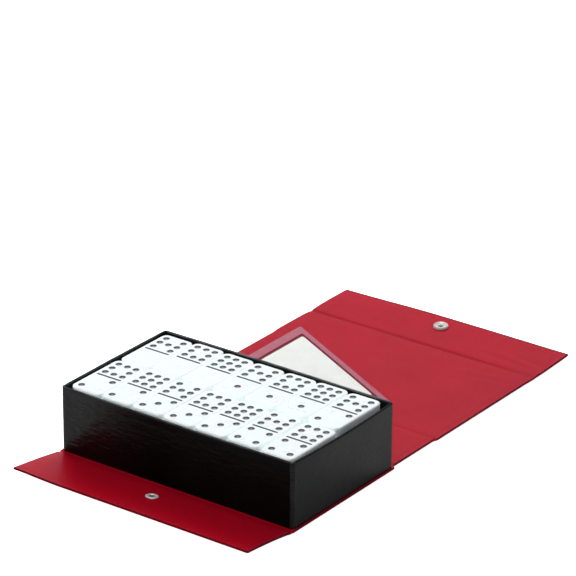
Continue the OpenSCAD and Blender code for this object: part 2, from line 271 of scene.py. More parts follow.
class Material(NodeTree):
    """A material with one Principled shader."""

    def __init__(self, name):
        self.material = bpy.data.materials.new(name)
        super().__init__(self.material)
        output = self.add("ShaderNodeOutputMaterial")
        self.shader = self.add("ShaderNodeBsdfPrincipled")
        self.put(output.inputs[0], self.shader.outputs[0])
        self.coord = self.add("ShaderNodeTexCoord").outputs["Object"]

    def set(self, **values):
        """Shader inputs by name, with _ for a space."""
        for key, value in values.items():
            self.put(self.shader.inputs[key.replace("_", " ")], value)

    def stretched(self, scale, turn=(0, 0, 0)):
        node = self.add("ShaderNodeMapping")
        node.inputs["Scale"].default_value = scale
        node.inputs["Rotation"].default_value = turn
        self.put(node.inputs["Vector"], self.coord)
        return node.outputs[0]

    def noise(self, scale, detail, roughness=0.6, vector=None):
        node = self.add("ShaderNodeTexNoise")
        node.inputs["Scale"].default_value = scale
        node.inputs["Detail"].default_value = detail
        node.inputs["Roughness"].default_value = roughness
        self.put(node.inputs["Vector"], vector or self.coord)
        return node.outputs[0]

    def cells(self, scale, smoothness, warp, warp_amount):
        """Smooth Voronoi cells on coordinates bent by warp."""
        vector = self.mix(warp_amount, self.coord, warp)
        node = self.add("ShaderNodeTexVoronoi", feature="SMOOTH_F1")
        node.inputs["Scale"].default_value = scale
        node.inputs["Smoothness"].default_value = smoothness
        self.put(node.inputs["Vector"], vector)
        return node.outputs[0]

    def mix(self, amount, a, b):
        node = self.add("ShaderNodeMix", data_type="RGBA", blend_type="MIX")
        self.put(node.inputs[0], amount)
        self.put(node.inputs[6], a)
        self.put(node.inputs[7], b)
        return node.outputs[2]

    def attribute(self, name):
        return self.add("ShaderNodeAttribute", attribute_name=name).outputs["Fac"]

    def pointiness(self):
        return self.add("ShaderNodeNewGeometry").outputs["Pointiness"]

    def bump(self, height, strength, distance):
        node = self.add("ShaderNodeBump")
        node.inputs["Strength"].default_value = strength
        node.inputs["Distance"].default_value = distance
        self.put(node.inputs["Height"], height)
        return node.outputs[0]


# ---------------------------------------------------------------- materials


def tile_plastic():
    """Milky off-white plastic with faint specks, a painted highlight on its edges, a painted glow
    and fine scratches.
    """
    m = Material("tile_plastic")
    cloud = m.noise(scale=55, detail=4)
    speck = m.noise(scale=900, detail=2, roughness=0.5)
    base = m.mix(m.fit(cloud, over=(0.35, 0.65)), srgb(242, 251, 253), srgb(238, 249, 252))
    base = m.mix(m.fit(speck, over=(0.62, 0.78), to=(0, 0.06)), base, srgb(214, 226, 230))
    # painted highlight: paler on sharp convex edges
    edge = m.fit(m.pointiness(), over=(0.515, 0.56), to=(0, 0.35))
    base = m.mix(edge, base, srgb(252, 255, 255))
    scratch = m.noise(scale=1.0, detail=2,
                      vector=m.stretched(scale=(260, 2600, 700), turn=(0, 0, 0.5)))
    rough = m.calc("ADD", m.fit(cloud, over=(0.3, 0.7), to=(0.24, 0.34)),
                   m.fit(scratch, over=(0.55, 0.8), to=(0, 0.08)))
    height = m.calc("ADD", m.calc("MULTIPLY", scratch, 0.5), speck)
    # painted glow: emission standing for the light that the milky plastic passes on to its
    # neighbours and to the tiles below
    glow = m.calc("ADD", m.calc("MULTIPLY", m.attribute("deep"), 0.13),
                  m.fit(cloud, over=(0.35, 0.65), to=(0.012, 0.022)))
    m.set(Base_Color=base, Roughness=rough, IOR=1.49,
          Normal=m.bump(height, strength=0.12, distance=0.00003),
          Emission_Color=srgb(246, 254, 255), Emission_Strength=glow,
          Subsurface_Weight=0.75, Subsurface_Radius=(1.0, 1.0, 1.0), Subsurface_Scale=0.0025)
    return m.material


def pip_paint():
    """Grey paint with a painted highlight: paler towards the middle of a pip."""
    m = Material("pip_paint")
    # painted highlight: the paint lightens towards the middle of a dimple, standing for light
    # caught in its glossy hollow
    middle = m.fit(m.attribute("rad"), over=(0.10, 0.75), to=(1, 0))
    cloud = m.noise(scale=1500, detail=3)
    base = m.mix(middle, srgb(74, 79, 83), srgb(164, 170, 174))
    base = m.mix(m.fit(cloud, over=(0.4, 0.7), to=(0, 0.25)), base, srgb(50, 54, 58))
    m.set(Base_Color=base, Roughness=m.fit(cloud, over=(0.3, 0.7), to=(0.30, 0.46)),
          Normal=m.bump(cloud, strength=0.25, distance=0.00004))
    return m.material


def red_vinyl():
    """Pressed vinyl: pebbled grain, cloudy colour, painted shade along the edges and in the folds,
    a faint darker weld line and paler edges.
    """
    lit, deep = srgb(178, 0, 8), srgb(168, 0, 5)
    m = Material("red_vinyl")
    warp = m.noise(scale=300, detail=3)
    pebble = m.cells(scale=1150, smoothness=0.6, warp=warp, warp_amount=0.0022)
    fine = m.noise(scale=2600, detail=3)
    cloud = m.noise(scale=16, detail=4)
    base = m.mix(m.fit(cloud, over=(0.34, 0.66)), lit, deep)
    base = m.mix(m.fit(pebble, over=(0.30, 0.75), to=(0, 0.16)), base, dim(deep, 0.6, 0.6, 0.6))
    # weld: painted shade along the outline and in the folds, with a faint darker line along the
    # weld groove; the shine is lowered there too
    weld = m.attribute("weld")
    base = m.mix(m.calc("MULTIPLY", weld, 0.88), base, dim(deep, 0.24, 0.3, 0.6))
    # paler towards the edges, in patches
    patches = m.fit(m.noise(scale=120, detail=4, roughness=0.7), over=(0.38, 0.62), to=(0.25, 1.0))
    paler_edge = m.calc("MULTIPLY", m.attribute("paler_edge"), patches)
    base = m.mix(m.calc("MULTIPLY", paler_edge, 0.22), base, srgb(226, 120, 132))
    rough = m.calc("ADD", m.fit(cloud, over=(0.3, 0.7), to=(0.28, 0.37)),
                   m.calc("MULTIPLY", paler_edge, 0.08))
    height = m.calc("ADD", m.calc("MULTIPLY", pebble, -1.0), m.calc("MULTIPLY", fine, 0.35))
    dull_welds = m.calc("SUBTRACT", 1.0, m.calc("MULTIPLY", weld, 0.75))
    m.set(Base_Color=base, Roughness=rough,
          Normal=m.bump(height, strength=0.22, distance=0.00010),
          Specular_IOR_Level=m.calc("MULTIPLY", dull_welds, 0.41),
          Specular_Tint=(0.9, 0.5, 1.0, 1), Sheen_Weight=0.065, Sheen_Roughness=0.5,
          Sheen_Tint=(0.6, 0.15, 0.85, 1))
    return m.material


def black_leatherette():
    """Embossed leatherette: irregular cells, a dull shine, a painted grey highlight on the rim's
    lip and greyer front corners.
    """
    m = Material("black_leatherette")
    warp = m.noise(scale=220, detail=4)
    cells = m.cells(scale=620, smoothness=0.5, warp=warp, warp_amount=0.0035)
    fine = m.noise(scale=2400, detail=3)
    cloud = m.noise(scale=22, detail=4)
    base = m.mix(m.fit(cloud, over=(0.35, 0.65)), srgb(3, 3, 3), srgb(6, 6, 6))
    streak = m.noise(scale=1.0, detail=4, roughness=0.65, vector=m.stretched(scale=(70, 70, 900)))
    # painted highlight: the lip goes grey in streaks
    greying = m.calc("MULTIPLY", m.attribute("greying"), m.fit(streak, over=(0.36, 0.60), to=(0.4, 1.0)))
    base = m.mix(m.calc("MULTIPLY", greying, 0.8), base, srgb(138, 138, 140))
    height = m.calc("ADD", m.calc("MULTIPLY", cells, -1.0), m.calc("MULTIPLY", fine, 0.4))
    m.set(Base_Color=base, Roughness=m.fit(cloud, over=(0.3, 0.7), to=(0.27, 0.37)),
          Normal=m.bump(height, strength=0.35, distance=0.00012),
          Specular_IOR_Level=m.fit(m.attribute("polish"), over=(0, 1), to=(0.05, 0.21)))
    return m.material


def lining_paper():
    m = Material("lining_paper")
    fibre = m.noise(scale=1.0, detail=4, roughness=0.65,
                    vector=m.stretched(scale=(700, 2400, 900), turn=(0.2, 0, 0.7)))
    cloud = m.noise(scale=60, detail=3)
    base = m.mix(m.fit(fibre, over=(0.35, 0.7)), srgb(16, 16, 18), srgb(30, 30, 32))
    m.set(Base_Color=base, Roughness=m.fit(cloud, over=(0.3, 0.7), to=(0.72, 0.86)),
          Normal=m.bump(fibre, strength=0.3, distance=0.00008))
    return m.material


def chipboard():
    m = Material("chipboard")
    fibre = m.noise(scale=1.0, detail=5, roughness=0.7,
                    vector=m.stretched(scale=(500, 1500, 3800), turn=(0, 0, 0.3)))
    fleck = m.add("ShaderNodeTexVoronoi", feature="F1")
    fleck.inputs["Scale"].default_value = 700
    m.put(fleck.inputs["Vector"], m.coord)
    base = m.mix(m.fit(fibre, over=(0.3, 0.7)), srgb(138, 130, 118), srgb(170, 161, 148))
    base = m.mix(m.fit(fleck.outputs[0], over=(0.0, 0.25), to=(0.30, 0)), base, srgb(92, 86, 78))
    m.set(Base_Color=base, Roughness=0.88, Normal=m.bump(fibre, strength=0.5, distance=0.00010))
    return m.material


def white_card():
    m = Material("white_card")
    fibre = m.noise(scale=1.0, detail=4,
                    vector=m.stretched(scale=(900, 2100, 900), turn=(0, 0, 1.1)))
    cloud = m.noise(scale=40, detail=4)
    base = m.mix(m.fit(cloud, over=(0.35, 0.65)), srgb(238, 239, 236), srgb(229, 231, 226))
    base = m.mix(m.fit(fibre, over=(0.55, 0.8), to=(0, 0.25)), base, srgb(224, 222, 214))
    m.set(Base_Color=base, Roughness=0.72, Normal=m.bump(fibre, strength=0.22, distance=0.00005))
    return m.material


def film(name, tint, alpha, rough):
    """Thin pressed sheet that lets through part of what lies under it."""
    m = Material(name)
    cloud = m.noise(scale=90, detail=4)
    emboss = m.noise(scale=1800, detail=2, roughness=0.5)
    base = m.mix(m.fit(cloud, over=(0.3, 0.7), to=(0, 0.5)), tint, dim(tint, 0.9, 0.9, 0.9))
    m.set(Base_Color=base,
          Roughness=m.fit(cloud, over=(0.3, 0.7), to=(rough - 0.03, rough + 0.05)),
          Alpha=m.fit(cloud, over=(0.25, 0.75), to=(alpha * 0.92, alpha * 1.08)),
          Normal=m.bump(emboss, strength=0.15, distance=0.00004))
    m.material.blend_method = "BLEND"
    return m.material


def nickel():
    """Brushed, stained nickel, with a painted highlight on sharp edges and painted shade where the
    attribute rad is small.
    """
    m = Material("nickel")
    brushed = m.noise(scale=1.0, detail=3, vector=m.stretched(scale=(1200, 1200, 9000)))
    stain = m.noise(scale=420, detail=4)
    base = m.mix(m.fit(stain, over=(0.45, 0.75), to=(0, 0.35)),
                 srgb(240, 238, 233), srgb(205, 203, 196))
    # painted highlight: paler on sharp convex edges
    base = m.mix(m.fit(m.pointiness(), over=(0.53, 0.62), to=(0, 0.6)), base, srgb(246, 245, 242))
    # painted shade where rad is small: the middle of the post washer, the cap's inner end, and the
    # outer foot of washer and socket
    base = m.mix(m.fit(m.attribute("rad"), over=(1.0, 1.9), to=(0.86, 0)), base, srgb(46, 42, 38))
    m.set(Base_Color=base, Metallic=0.42,
          Roughness=m.fit(stain, over=(0.3, 0.7), to=(0.34, 0.46)),
          Normal=m.bump(brushed, strength=0.12, distance=0.00003))
    return m.material


TILE_PLASTIC = tile_plastic()
PIP_PAINT = pip_paint()
RED_VINYL = red_vinyl()
LEATHERETTE = black_leatherette()
LINING_PAPER = lining_paper()
CHIPBOARD = chipboard()
WHITE_CARD = white_card()
FILM_WELD = film("film_weld", tint=srgb(216, 146, 166), alpha=0.36, rough=0.34)
# painted shade: a dark red, nearly opaque film along the line round the card window, standing for
# the lid seen without its sheen
FILM_LINE = film("film_line", tint=srgb(122, 14, 40), alpha=0.80, rough=0.34)
FILM_CLEAR = film("film_clear", tint=srgb(240, 240, 240), alpha=0.08, rough=0.16)
NICKEL = nickel()

# ---------------------------------------------------------------- tiles

TILE_W, TILE_L, TILE_T = (box_mm("tile_7_0")[1] - box_mm("tile_7_0")[0]).tolist()
TILE_CORNER_R = 4.5
TILE_CORNER = (TILE_W / 2 - TILE_CORNER_R, TILE_L / 2 - TILE_CORNER_R)   # centre of its arc
TOP_FILLET = FOOT_FILLET = 0.9

PIP_PITCH, HALF_CENTRE = 7.2, 12.4           # HALF_CENTRE: from the tile's middle to a half's
PIP_R, PIP_DEPTH = 2.25, 0.75
PIP_OPENING_R = PIP_R + 0.16
PIP_SEGMENTS = 24
PIP_RINGS = (PIP_R + 0.05, PIP_R - 0.03, 1.78, 1.32, 0.82, 0.36)   # the first is the lip

GROOVE_HALF_W, GROOVE_HALF_L = 0.86, 10.15
GROOVE_STRAIGHT = GROOVE_HALF_L - GROOVE_HALF_W
# narrowing of the half width, depth, horizontal part of the normal
GROOVE_RINGS = ((0.04, 0.09, 0.80), (0.16, 0.28, 0.80), (0.36, 0.37, 0.25))

# pip places, in pitches from the middle of a half
DIAGONAL = [(1, 1), (-1, -1)]
FOUR = [(u, v) for u in (-1, 1) for v in (-1, 1)]
SIX = [(u, v) for u in (-1, 1) for v in (-1, 0, 1)]
NINE = [(u, v) for u in (-1, 0, 1) for v in (-1, 0, 1)]
MIDDLE = (0, 0)
PIP_PATTERNS = [
    [], [MIDDLE], DIAGONAL, [(1, 1), MIDDLE, (-1, -1)], FOUR, FOUR + [MIDDLE],
    SIX, SIX + [MIDDLE], [place for place in NINE if place != MIDDLE], NINE]


def tile_outline(inset):
    """Rounded rectangle moved in by inset, with its outward normals."""
    points, normals = [], []
    centres = np.array(((1, 1), (-1, 1), (-1, -1), (1, -1))) * TILE_CORNER
    radius = TILE_CORNER_R - inset
    for k in range(4):
        for i in range(9):
            angle = math.radians(90.0 * k + 90.0 * i / 8)
            normal = np.array((math.cos(angle), math.sin(angle)))
            points.append(centres[k] + normal * radius)
            normals.append(normal)
        start = centres[k] + normal * radius
        end = centres[(k + 1) % 4] + normal * radius
        for i in range(1, 5):
            points.append(start + (end - start) * i / 5)
            normals.append(normal)
    return np.array(points), np.array(normals)


def groove_outline(half_w):
    points = []
    for side, first in ((1, -90), (-1, 90)):
        for i in range(5):
            angle = math.radians(first + 180.0 * i / 4)
            points.append((side * GROOVE_STRAIGHT + half_w * math.cos(angle),
                           half_w * math.sin(angle)))
    return points


def pip_centres(a, b):
    return [(u * PIP_PITCH, side * HALF_CENTRE + v * PIP_PITCH)
            for value, side in ((a, 1), (b, -1)) for u, v in PIP_PATTERNS[value]]


class TileShell:
    """Points, normals, shade and faces of one tile; material 0 is plastic, 1 is paint."""

    def __init__(self):
        self.points, self.normals, self.shade = [], [], []
        self.faces, self.materials = [], []

    def point(self, place, normal, shade=0.0):
        self.points.append(place)
        self.normals.append(normal)
        self.shade.append(shade)
        return len(self.points) - 1

    def face(self, ids, material):
        self.faces.append(tuple(ids))
        self.materials.append(material)

    def band(self, ring_a, ring_b, material):
        for i in range(len(ring_a)):
            k = (i + 1) % len(ring_a)
            self.face((ring_a[i], ring_a[k], ring_b[k], ring_b[i]), material)


def outside_face(x, y, pips):
    """Whether a place is in the groove, in a pip or beyond a rounded corner."""
    if abs(y) < GROOVE_HALF_W:
        beyond = abs(x) - GROOVE_STRAIGHT
        if beyond <= 0 or math.hypot(beyond, y) < GROOVE_HALF_W - 0.01:
            return True
    if any(math.hypot(px - x, py - y) < PIP_R + 0.1 for px, py in pips):
        return True
    x, y = abs(x) - TILE_CORNER[0], abs(y) - TILE_CORNER[1]
    return x > 0 and y > 0 and math.hypot(x, y) > TILE_CORNER_R - TOP_FILLET


def add_tile_face(shell, pips):
    """The flat face. Returns the point ids of its outline, pip openings and groove."""
    turns = [2 * math.pi * i / PIP_SEGMENTS for i in range(PIP_SEGMENTS)]
    loops = [tile_outline(TOP_FILLET)[0].tolist()]
    for x, y in pips:
        loops.append([(x + PIP_OPENING_R * math.cos(turn), y + PIP_OPENING_R * math.sin(turn))
                      for turn in turns])
    loops.append(groove_outline(GROOVE_HALF_W))
    points, edges, spans = [], [], []
    for loop in loops:
        start, count = len(points), len(loop)
        points += [Vector(place) for place in loop]
        edges += [(start + i, start + (i + 1) % count) for i in range(count)]
        spans.append(range(start, start + count))
    places, _, triangles, sources, _, _ = delaunay_2d_cdt(points, edges, [], 0, 1e-5)
    index_of = {source: k for k, group in enumerate(sources) for source in group}
    ids = [shell.point((place[0], place[1], TILE_T), (0, 0, 1)) for place in places]
    for triangle in triangles:
        x, y = np.mean([[places[i][0], places[i][1]] for i in triangle], axis=0)
        if not outside_face(x, y, pips):
            shell.face((ids[i] for i in triangle), 0)
    return [[ids[index_of[k]] for k in span] for span in spans]


def add_tile_sides(shell, ring):
    """Rounded top edge, side, rounded foot and underside."""
    profile = []                             # inset, z, normal outward, normal up
    for k in range(1, 6):
        turn = math.pi / 2 * k / 5
        profile.append((TOP_FILLET * (1 - math.sin(turn)),
                        TILE_T - TOP_FILLET * (1 - math.cos(turn)),
                        math.sin(turn), math.cos(turn)))
    profile += [(0.0, TILE_T * 0.66, 1.0, 0.0), (0.0, TILE_T * 0.33, 1.0, 0.0)]
    for k in range(5):
        turn = math.pi / 2 * k / 4
        profile.append((FOOT_FILLET * (1 - math.cos(turn)), FOOT_FILLET * (1 - math.sin(turn)),
                        math.cos(turn), -math.sin(turn)))
    for inset, z, outward, up in profile:
        lower = [shell.point((x, y, z), (nx * outward, ny * outward, up))
                 for (x, y), (nx, ny) in zip(*tile_outline(inset))]
        shell.band(ring, lower, 0)
        ring = lower
    shell.face(ring, 0)


def add_pip(shell, ring, x, y):
    """A spherical dimple below its opening in the face."""
    sphere_r = (PIP_R**2 + PIP_DEPTH**2) / (2 * PIP_DEPTH)
    for r in PIP_RINGS:
        if r > PIP_R:
            z, slope, material = TILE_T - 0.03, 0.45, 0
        else:
            drop = math.sqrt(sphere_r * sphere_r - r * r)
            z, slope, material = TILE_T - (drop - (sphere_r - PIP_DEPTH)), r / drop, 1
        length = math.hypot(1, slope)
        lower = []
        for i in range(PIP_SEGMENTS):
            turn = 2 * math.pi * i / PIP_SEGMENTS
            c, s = math.cos(turn), math.sin(turn)
            normal = (-c * slope / length, -s * slope / length, 1 / length)
            lower.append(shell.point((x + r * c, y + r * s, z), normal, r / PIP_R))
        shell.band(ring, lower, material)
        ring = lower
    bottom = shell.point((x, y, TILE_T - PIP_DEPTH), (0, 0, 1), 0.005)
    for a, b in zip(ring, ring[1:] + ring[:1]):
        shell.face((a, b, bottom), 1)


def add_groove(shell, ring):
    for narrowing, depth, flat in GROOVE_RINGS:
        lower = []
        for x, y in groove_outline(GROOVE_HALF_W - narrowing):
            nx = x - np.clip(x, -GROOVE_STRAIGHT, GROOVE_STRAIGHT)
            length = math.hypot(nx, y) or 1
            normal = (-nx / length * flat, -y / length * flat, math.sqrt(1 - flat * flat))
            lower.append(shell.point((x, y, TILE_T - depth), normal, 0.9))
        shell.band(ring, lower, 1)
        ring = lower
    shell.face(ring, 1)


def neighbour_light(normals, x, y):
    """Painted glow for a top tile's sides, standing for the light they get from the tiles beside
    it; none on a side facing a wall.
    """
    outer = 74                               # |x| beyond which a tile is in an end column
    to_wall = (clip01(normals[:, 1]) * (y > 0) + clip01(normals[:, 0]) * (x > outer)
               + clip01(-normals[:, 0]) * (x < -outer))
    return clip01(1 - normals[:, 2] ** 2) * clip01(1 - 1.5 * to_wall)


def build_tile(a, b, x, y, z, body, stands, deep=None):
    """Tile with a pips at its +Y end and b at its -Y end; its underside is at z."""
    shell = TileShell()
    pips = pip_centres(a, b)
    outline, *openings, groove = add_tile_face(shell, pips)
    add_tile_sides(shell, outline)
    for opening, centre in zip(openings, pips):
        add_pip(shell, opening, *centre)
    add_groove(shell, groove)
    normals = np.array(shell.normals, float)
    # deep: how strongly the painted glow shows at each point
    if deep is None:
        deep = neighbour_light(normals, x, y)
    make(f"domino_{a}_{b}", np.array(shell.points, float) + np.array([x, y, z]), shell.faces,
         [TILE_PLASTIC, PIP_PAINT], face_materials=shell.materials, normals=normals,
         attributes={"rad": shell.shade, "deep": deep * np.ones(len(normals))},
         body=body, stands=stands)


HIGH_TILES = [(a, b) for b in range(10) for a in range(max(7, b), 10)]
LOW_TILES = [(a, b) for a in range(7) for b in range(a + 1)]
TOP_COUNT = LAYER_COUNT = 14
TILE_STEP, ROW_Y = 25.6, 25.6
WIDE_STEP = 31.6                             # six tiles spread over the length of seven


def build_tiles():
    for a, b in HIGH_TILES[:TOP_COUNT]:
        node = f"tile_{a}_{b}"
        low, high = box_mm(node)
        build_tile(a, b, (low[0] + high[0]) / 2, (low[1] + high[1]) / 2, low[2], node, (node,))
    seven = [(i - 3) * TILE_STEP for i in range(7)]
    six = [(i - 2.5) * WIDE_STEP for i in range(6)]
    layers = ((LOW_TILES[:LAYER_COUNT], seven), (LOW_TILES[LAYER_COUNT:], seven),
              (HIGH_TILES[TOP_COUNT:], six))
    for level, (pairs, back_row) in enumerate(layers, 1):
        node = f"tiles_layer_{level}"
        z = box_mm(node)[0][2]
        places = [(x, ROW_Y) for x in back_row] + [(x, -ROW_Y) for x in seven]
        for i, ((a, b), (x, y)) in enumerate(zip(pairs, places)):
            build_tile(a, b, x, y, z, node, () if i else (node,), deep=0.75)


build_tiles()

# ---------------------------------------------------------------- tray

WALL_BOW = {"front": 0.9, "right": 1.7, "back": 0.8, "left": 0.35}
# wall, outward direction, first corner, last corner
WALL_PLAN = (("front", (0, -1), (-1, -1), (1, -1)), ("right", (1, 0), (1, -1), (1, 1)),
             ("back", (0, 1), (1, 1), (-1, 1)), ("left", (-1, 0), (-1, 1), (-1, -1)))
LOOP_STEP, CORNER_STEPS = 1.2, 9
CORNER_RUN = 4.4                             # distance run round a corner
WALL_ROWS = 84


def bow_at(wall, t, z):
    """Outward bulge of a wall at t from -1 to 1 along it and at height z."""
    if wall == "back":
        t = t - 0.25 * (1 - t * t)
    rise = clip01((z - FOOT_Z) / (RIM_Z - FOOT_Z)) ** 1.35
    return WALL_BOW[wall] * clip01(1 - t * t) * rise


class WallLoop:
    """Points round the tray at a plan inset: xy, normal, wall, t along it, distance run."""

    def __init__(self, inset):
        r = max(TRAY_CORNER_R - inset, 0.3)
        reach = np.array([TRAY_W / 2 - inset - r, TRAY_D / 2 - inset - r])
        rows, run = [], 0.0
        for wall, normal, first, last in WALL_PLAN:
            length = (TRAY_W if normal[0] == 0 else TRAY_D) - 2 * TRAY_CORNER_R
            count = max(2, int(round(length / LOOP_STEP)))
            start = np.array(first) * reach + np.array(normal) * r
            end = np.array(last) * reach + np.array(normal) * r
            for i in range(count + 1):
                k = i / count
                rows.append((start + (end - start) * k, normal, wall, 2 * k - 1, run + k * length))
            run += length
            angle = math.atan2(normal[1], normal[0])
            for i in range(1, CORNER_STEPS):
                turn = angle + math.pi / 2 * i / CORNER_STEPS
                turned = (math.cos(turn), math.sin(turn))
                rows.append((np.array(last) * reach + np.array(turned) * r, turned, "corner",
                             1.0, run + CORNER_RUN * i / CORNER_STEPS))
            run += CORNER_RUN
        self.count = len(rows)
        self.xy, self.normal, self.wall, self.t, self.run = map(np.array, zip(*rows))

    def ring(self, z, out=0.0):
        """The loop at height z, bowed, and moved outward by out."""
        push = np.zeros(self.count)
        for wall in WALL_BOW:
            on_wall = self.wall == wall
            push[on_wall] = bow_at(wall, self.t[on_wall], z)
        xy = self.xy + self.normal * (push + out)[:, None]
        return np.column_stack([xy, np.full(self.count, z)])


def wrinkles(loop, z):
    """Relief of the leatherette on the outside: short creases that run along the wall."""
    run, x = loop.run, loop.xy[:, 0]
    drift = 5 * value_noise(run / 26, z / 11, 5)
    bend = 1.0 * value_noise(run / 15, z / 7, 9)
    coarse = value_noise((run + drift) / 9.0, (z + bend) / 1.75, 3)
    bend = 0.6 * value_noise(run / 11, z / 5, 2)
    fine = value_noise((run - drift) / 5.0 + 40, z / 1.05 + bend, 11)
    folds = (1 - np.abs(coarse)) ** 3 * 0.75 + (1 - np.abs(fine)) ** 3 * 0.35
    height = (z - FOOT_Z) / (RIM_Z - FOOT_Z)
    fade = ease(0.0, 0.10, height) * (1 - ease(0.86, 0.97, height))
    # the front wall is the most creased, above all its left half
    left = 0.55 + 0.45 * (1 - ease(-40, 5, x))
    front = 0.40 * left * ease(-93, -86, x) * (1 - 0.6 * ease(60, 92, x))
    depth = np.select([loop.wall == "front", loop.wall == "corner", loop.wall == "left"],
                      [front, 0.015, 0.06], 0.045)
    swell = 0.10 * value_noise(run / 45, z / 30, 21) * fade
    return -folds * depth * fade + swell * (loop.wall != "corner")


def build_wrap():
    """The leatherette: up the outside, over the rim, turned in, and back inside the wall."""
    outer, inner = WallLoop(0.0), WallLoop(WALL_T)
    n = outer.count
    rings, greying = [], []

    def across(k, z, lip_highlight):
        """A loop k of the way from the outer face to the inner face."""
        a, b = outer.ring(z), inner.ring(z)
        rings.append(a + (b - a) * k)
        greying.append(lip_highlight)

    for z in np.linspace(FOOT_Z + 0.3, RIM_Z - 0.75, WALL_ROWS):
        rings.append(outer.ring(z, wrinkles(outer, z)))
    # outer bend of the lip, domed top and inner bend, each with how strongly its rows get the
    # painted highlight
    for angle, lip_highlight in ((15, 0.25), (35, 0.5), (55, 0.7), (75, 0.9)):
        a = math.radians(angle)
        across(0.32 * (1 - math.cos(a)), RIM_Z - 0.62 + 0.62 * math.sin(a) - 0.05, lip_highlight)
    for k, lip_highlight in ((0.36, 1.0), (0.48, 1.0), (0.60, 0.8), (0.70, 0.5)):
        across(k, RIM_Z - 0.05 + 0.07 * math.sin(math.pi * k), lip_highlight)
    for angle, lip_highlight in ((20, 0.75), (45, 0.65), (70, 0.50), (90, 0.40)):
        a = math.radians(angle)
        across(0.72 + 0.28 * math.sin(a), RIM_Z - 0.50 + 0.50 * math.cos(a) - 0.02, lip_highlight)
    for drop in (1.2, 2.5, 5, 8, 11, TURN_IN - 0.25):
        rings.append(inner.ring(RIM_Z - drop, 0.02 * value_noise(outer.run / 9, drop / 3.0, 8)))
    rings.append(inner.ring(RIM_Z - TURN_IN, 0.12))
    # back of the sheet, against the boards, down to the underside
    board_in, board_out = WallLoop(WALL_T - WRAP_T), WallLoop(WRAP_T)
    rings += [board_in.ring(RIM_Z - drop) for drop in (TURN_IN, 6.0, 0.6, WRAP_T)]
    rings += [board_out.ring(RIM_Z - drop) for drop in (WRAP_T + 0.06, 0.8, 12, 24, 36)]
    rings.append(board_out.ring(FOOT_Z + WRAP_T))
    faces = grid_faces(n, len(rings), closed=True)
    # underside: two sheets, each closed by one flat face, joined along the foot
    last, foot = (len(rings) - 1) * n, len(rings) * n
    rings.append(outer.ring(FOOT_Z + 0.02, -0.22))
    faces += ring_to_ring(n, 0, foot)
    faces += [cap(n, foot), cap(n, last)]

    wall = outer.wall
    polish = np.where(wall == "front", 1 - ease(-88, -5, outer.xy[:, 0]),
                      np.where(wall == "corner", 0.4, 0.50))
    # painted highlight: the lip is painted grey, most of all along the back; the front corners get
    # a faint grey too
    paler_edge = np.select([wall == "front", wall == "right", wall == "left", wall == "back"],
                    [0.3, 0.06, 0.45, 1.0], 0.4)
    greying_map = np.zeros((len(rings), n))
    greying_map[:WALL_ROWS] = 0.07 * ((wall == "corner") & (outer.normal[:, 1] < 0))
    greying_map[WALL_ROWS:WALL_ROWS + len(greying)] = np.outer(greying, paler_edge)
    make("leatherette_wrap", np.concatenate(rings), faces, [LEATHERETTE],
         attributes={"polish": np.tile(polish, len(rings)), "greying": greying_map.ravel()},
         body="tray", stands=("tray_wrap",))


def build_lining():
    back, front = WallLoop(WALL_T - WRAP_T), WallLoop(WALL_T)
    n = back.count
    top = RIM_Z - TURN_IN - 0.05
    rings = [back.ring(z) for z in (CAVITY_Z - WRAP_T, CAVITY_Z + 8, CAVITY_Z + 20, top)]
    rings += [front.ring(z) for z in (top, CAVITY_Z + 20, CAVITY_Z + 8, CAVITY_Z + 0.4)]
    rings.append(front.ring(CAVITY_Z, -0.4))
    faces = grid_faces(n, len(rings), closed=True)
    faces += [cap(n, 0), cap(n, (len(rings) - 1) * n)]
    make("paper_lining", np.concatenate(rings), faces, [LINING_PAPER], body="tray",
         stands=("tray_lining",))


def build_wall_board(wall):
    """A wall's chipboard, bowed with its wall. Front and back boards run along X."""
    along_x = wall in ("front", "back")
    length, reach = (TRAY_W, TRAY_D) if along_x else (TRAY_D, TRAY_W)
    outward = 1 if wall in ("right", "back") else -1
    loop_way = 1 if wall in ("front", "right") else -1
    half = length / 2 - (2.75 if along_x else WALL_T + 0.1)
    columns, rows = 33, 8
    along = np.linspace(-half, half, columns)
    t = along / (length / 2 - TRAY_CORNER_R) * loop_way
    points = []
    for inset in (WRAP_T + 0.04, WALL_T - WRAP_T - 0.04):
        for z in np.linspace(FOOT_Z + 0.3, RIM_Z - 0.42, rows):
            out = outward * (reach / 2 - inset + bow_at(wall, t, z))
            xy = (along, out) if along_x else (out, along)
            points.append(np.column_stack([*xy, np.full(columns, z)]))
    size = columns * rows
    faces = grid_faces(columns, rows) + grid_faces(columns, rows, size)
    for i in range(columns - 1):
        for a in (i, size - columns + i):
            faces.append((a, a + 1, size + a + 1, size + a))
    for j in range(rows - 1):
        for a in (j * columns, j * columns + columns - 1):
            faces.append((a, a + columns, size + a + columns, size + a))
    ob = make(f"{wall}_wall_chipboard", np.concatenate(points), faces, [CHIPBOARD], body="tray",
              stands=(f"tray_{wall}_board",), smooth=False)
    bevel(ob, 0.15)


build_wrap()
build_lining()
for wall_name in ("front", "back", "left", "right"):
    build_wall_board(wall_name)

# ---------------------------------------------------------------- cover panels

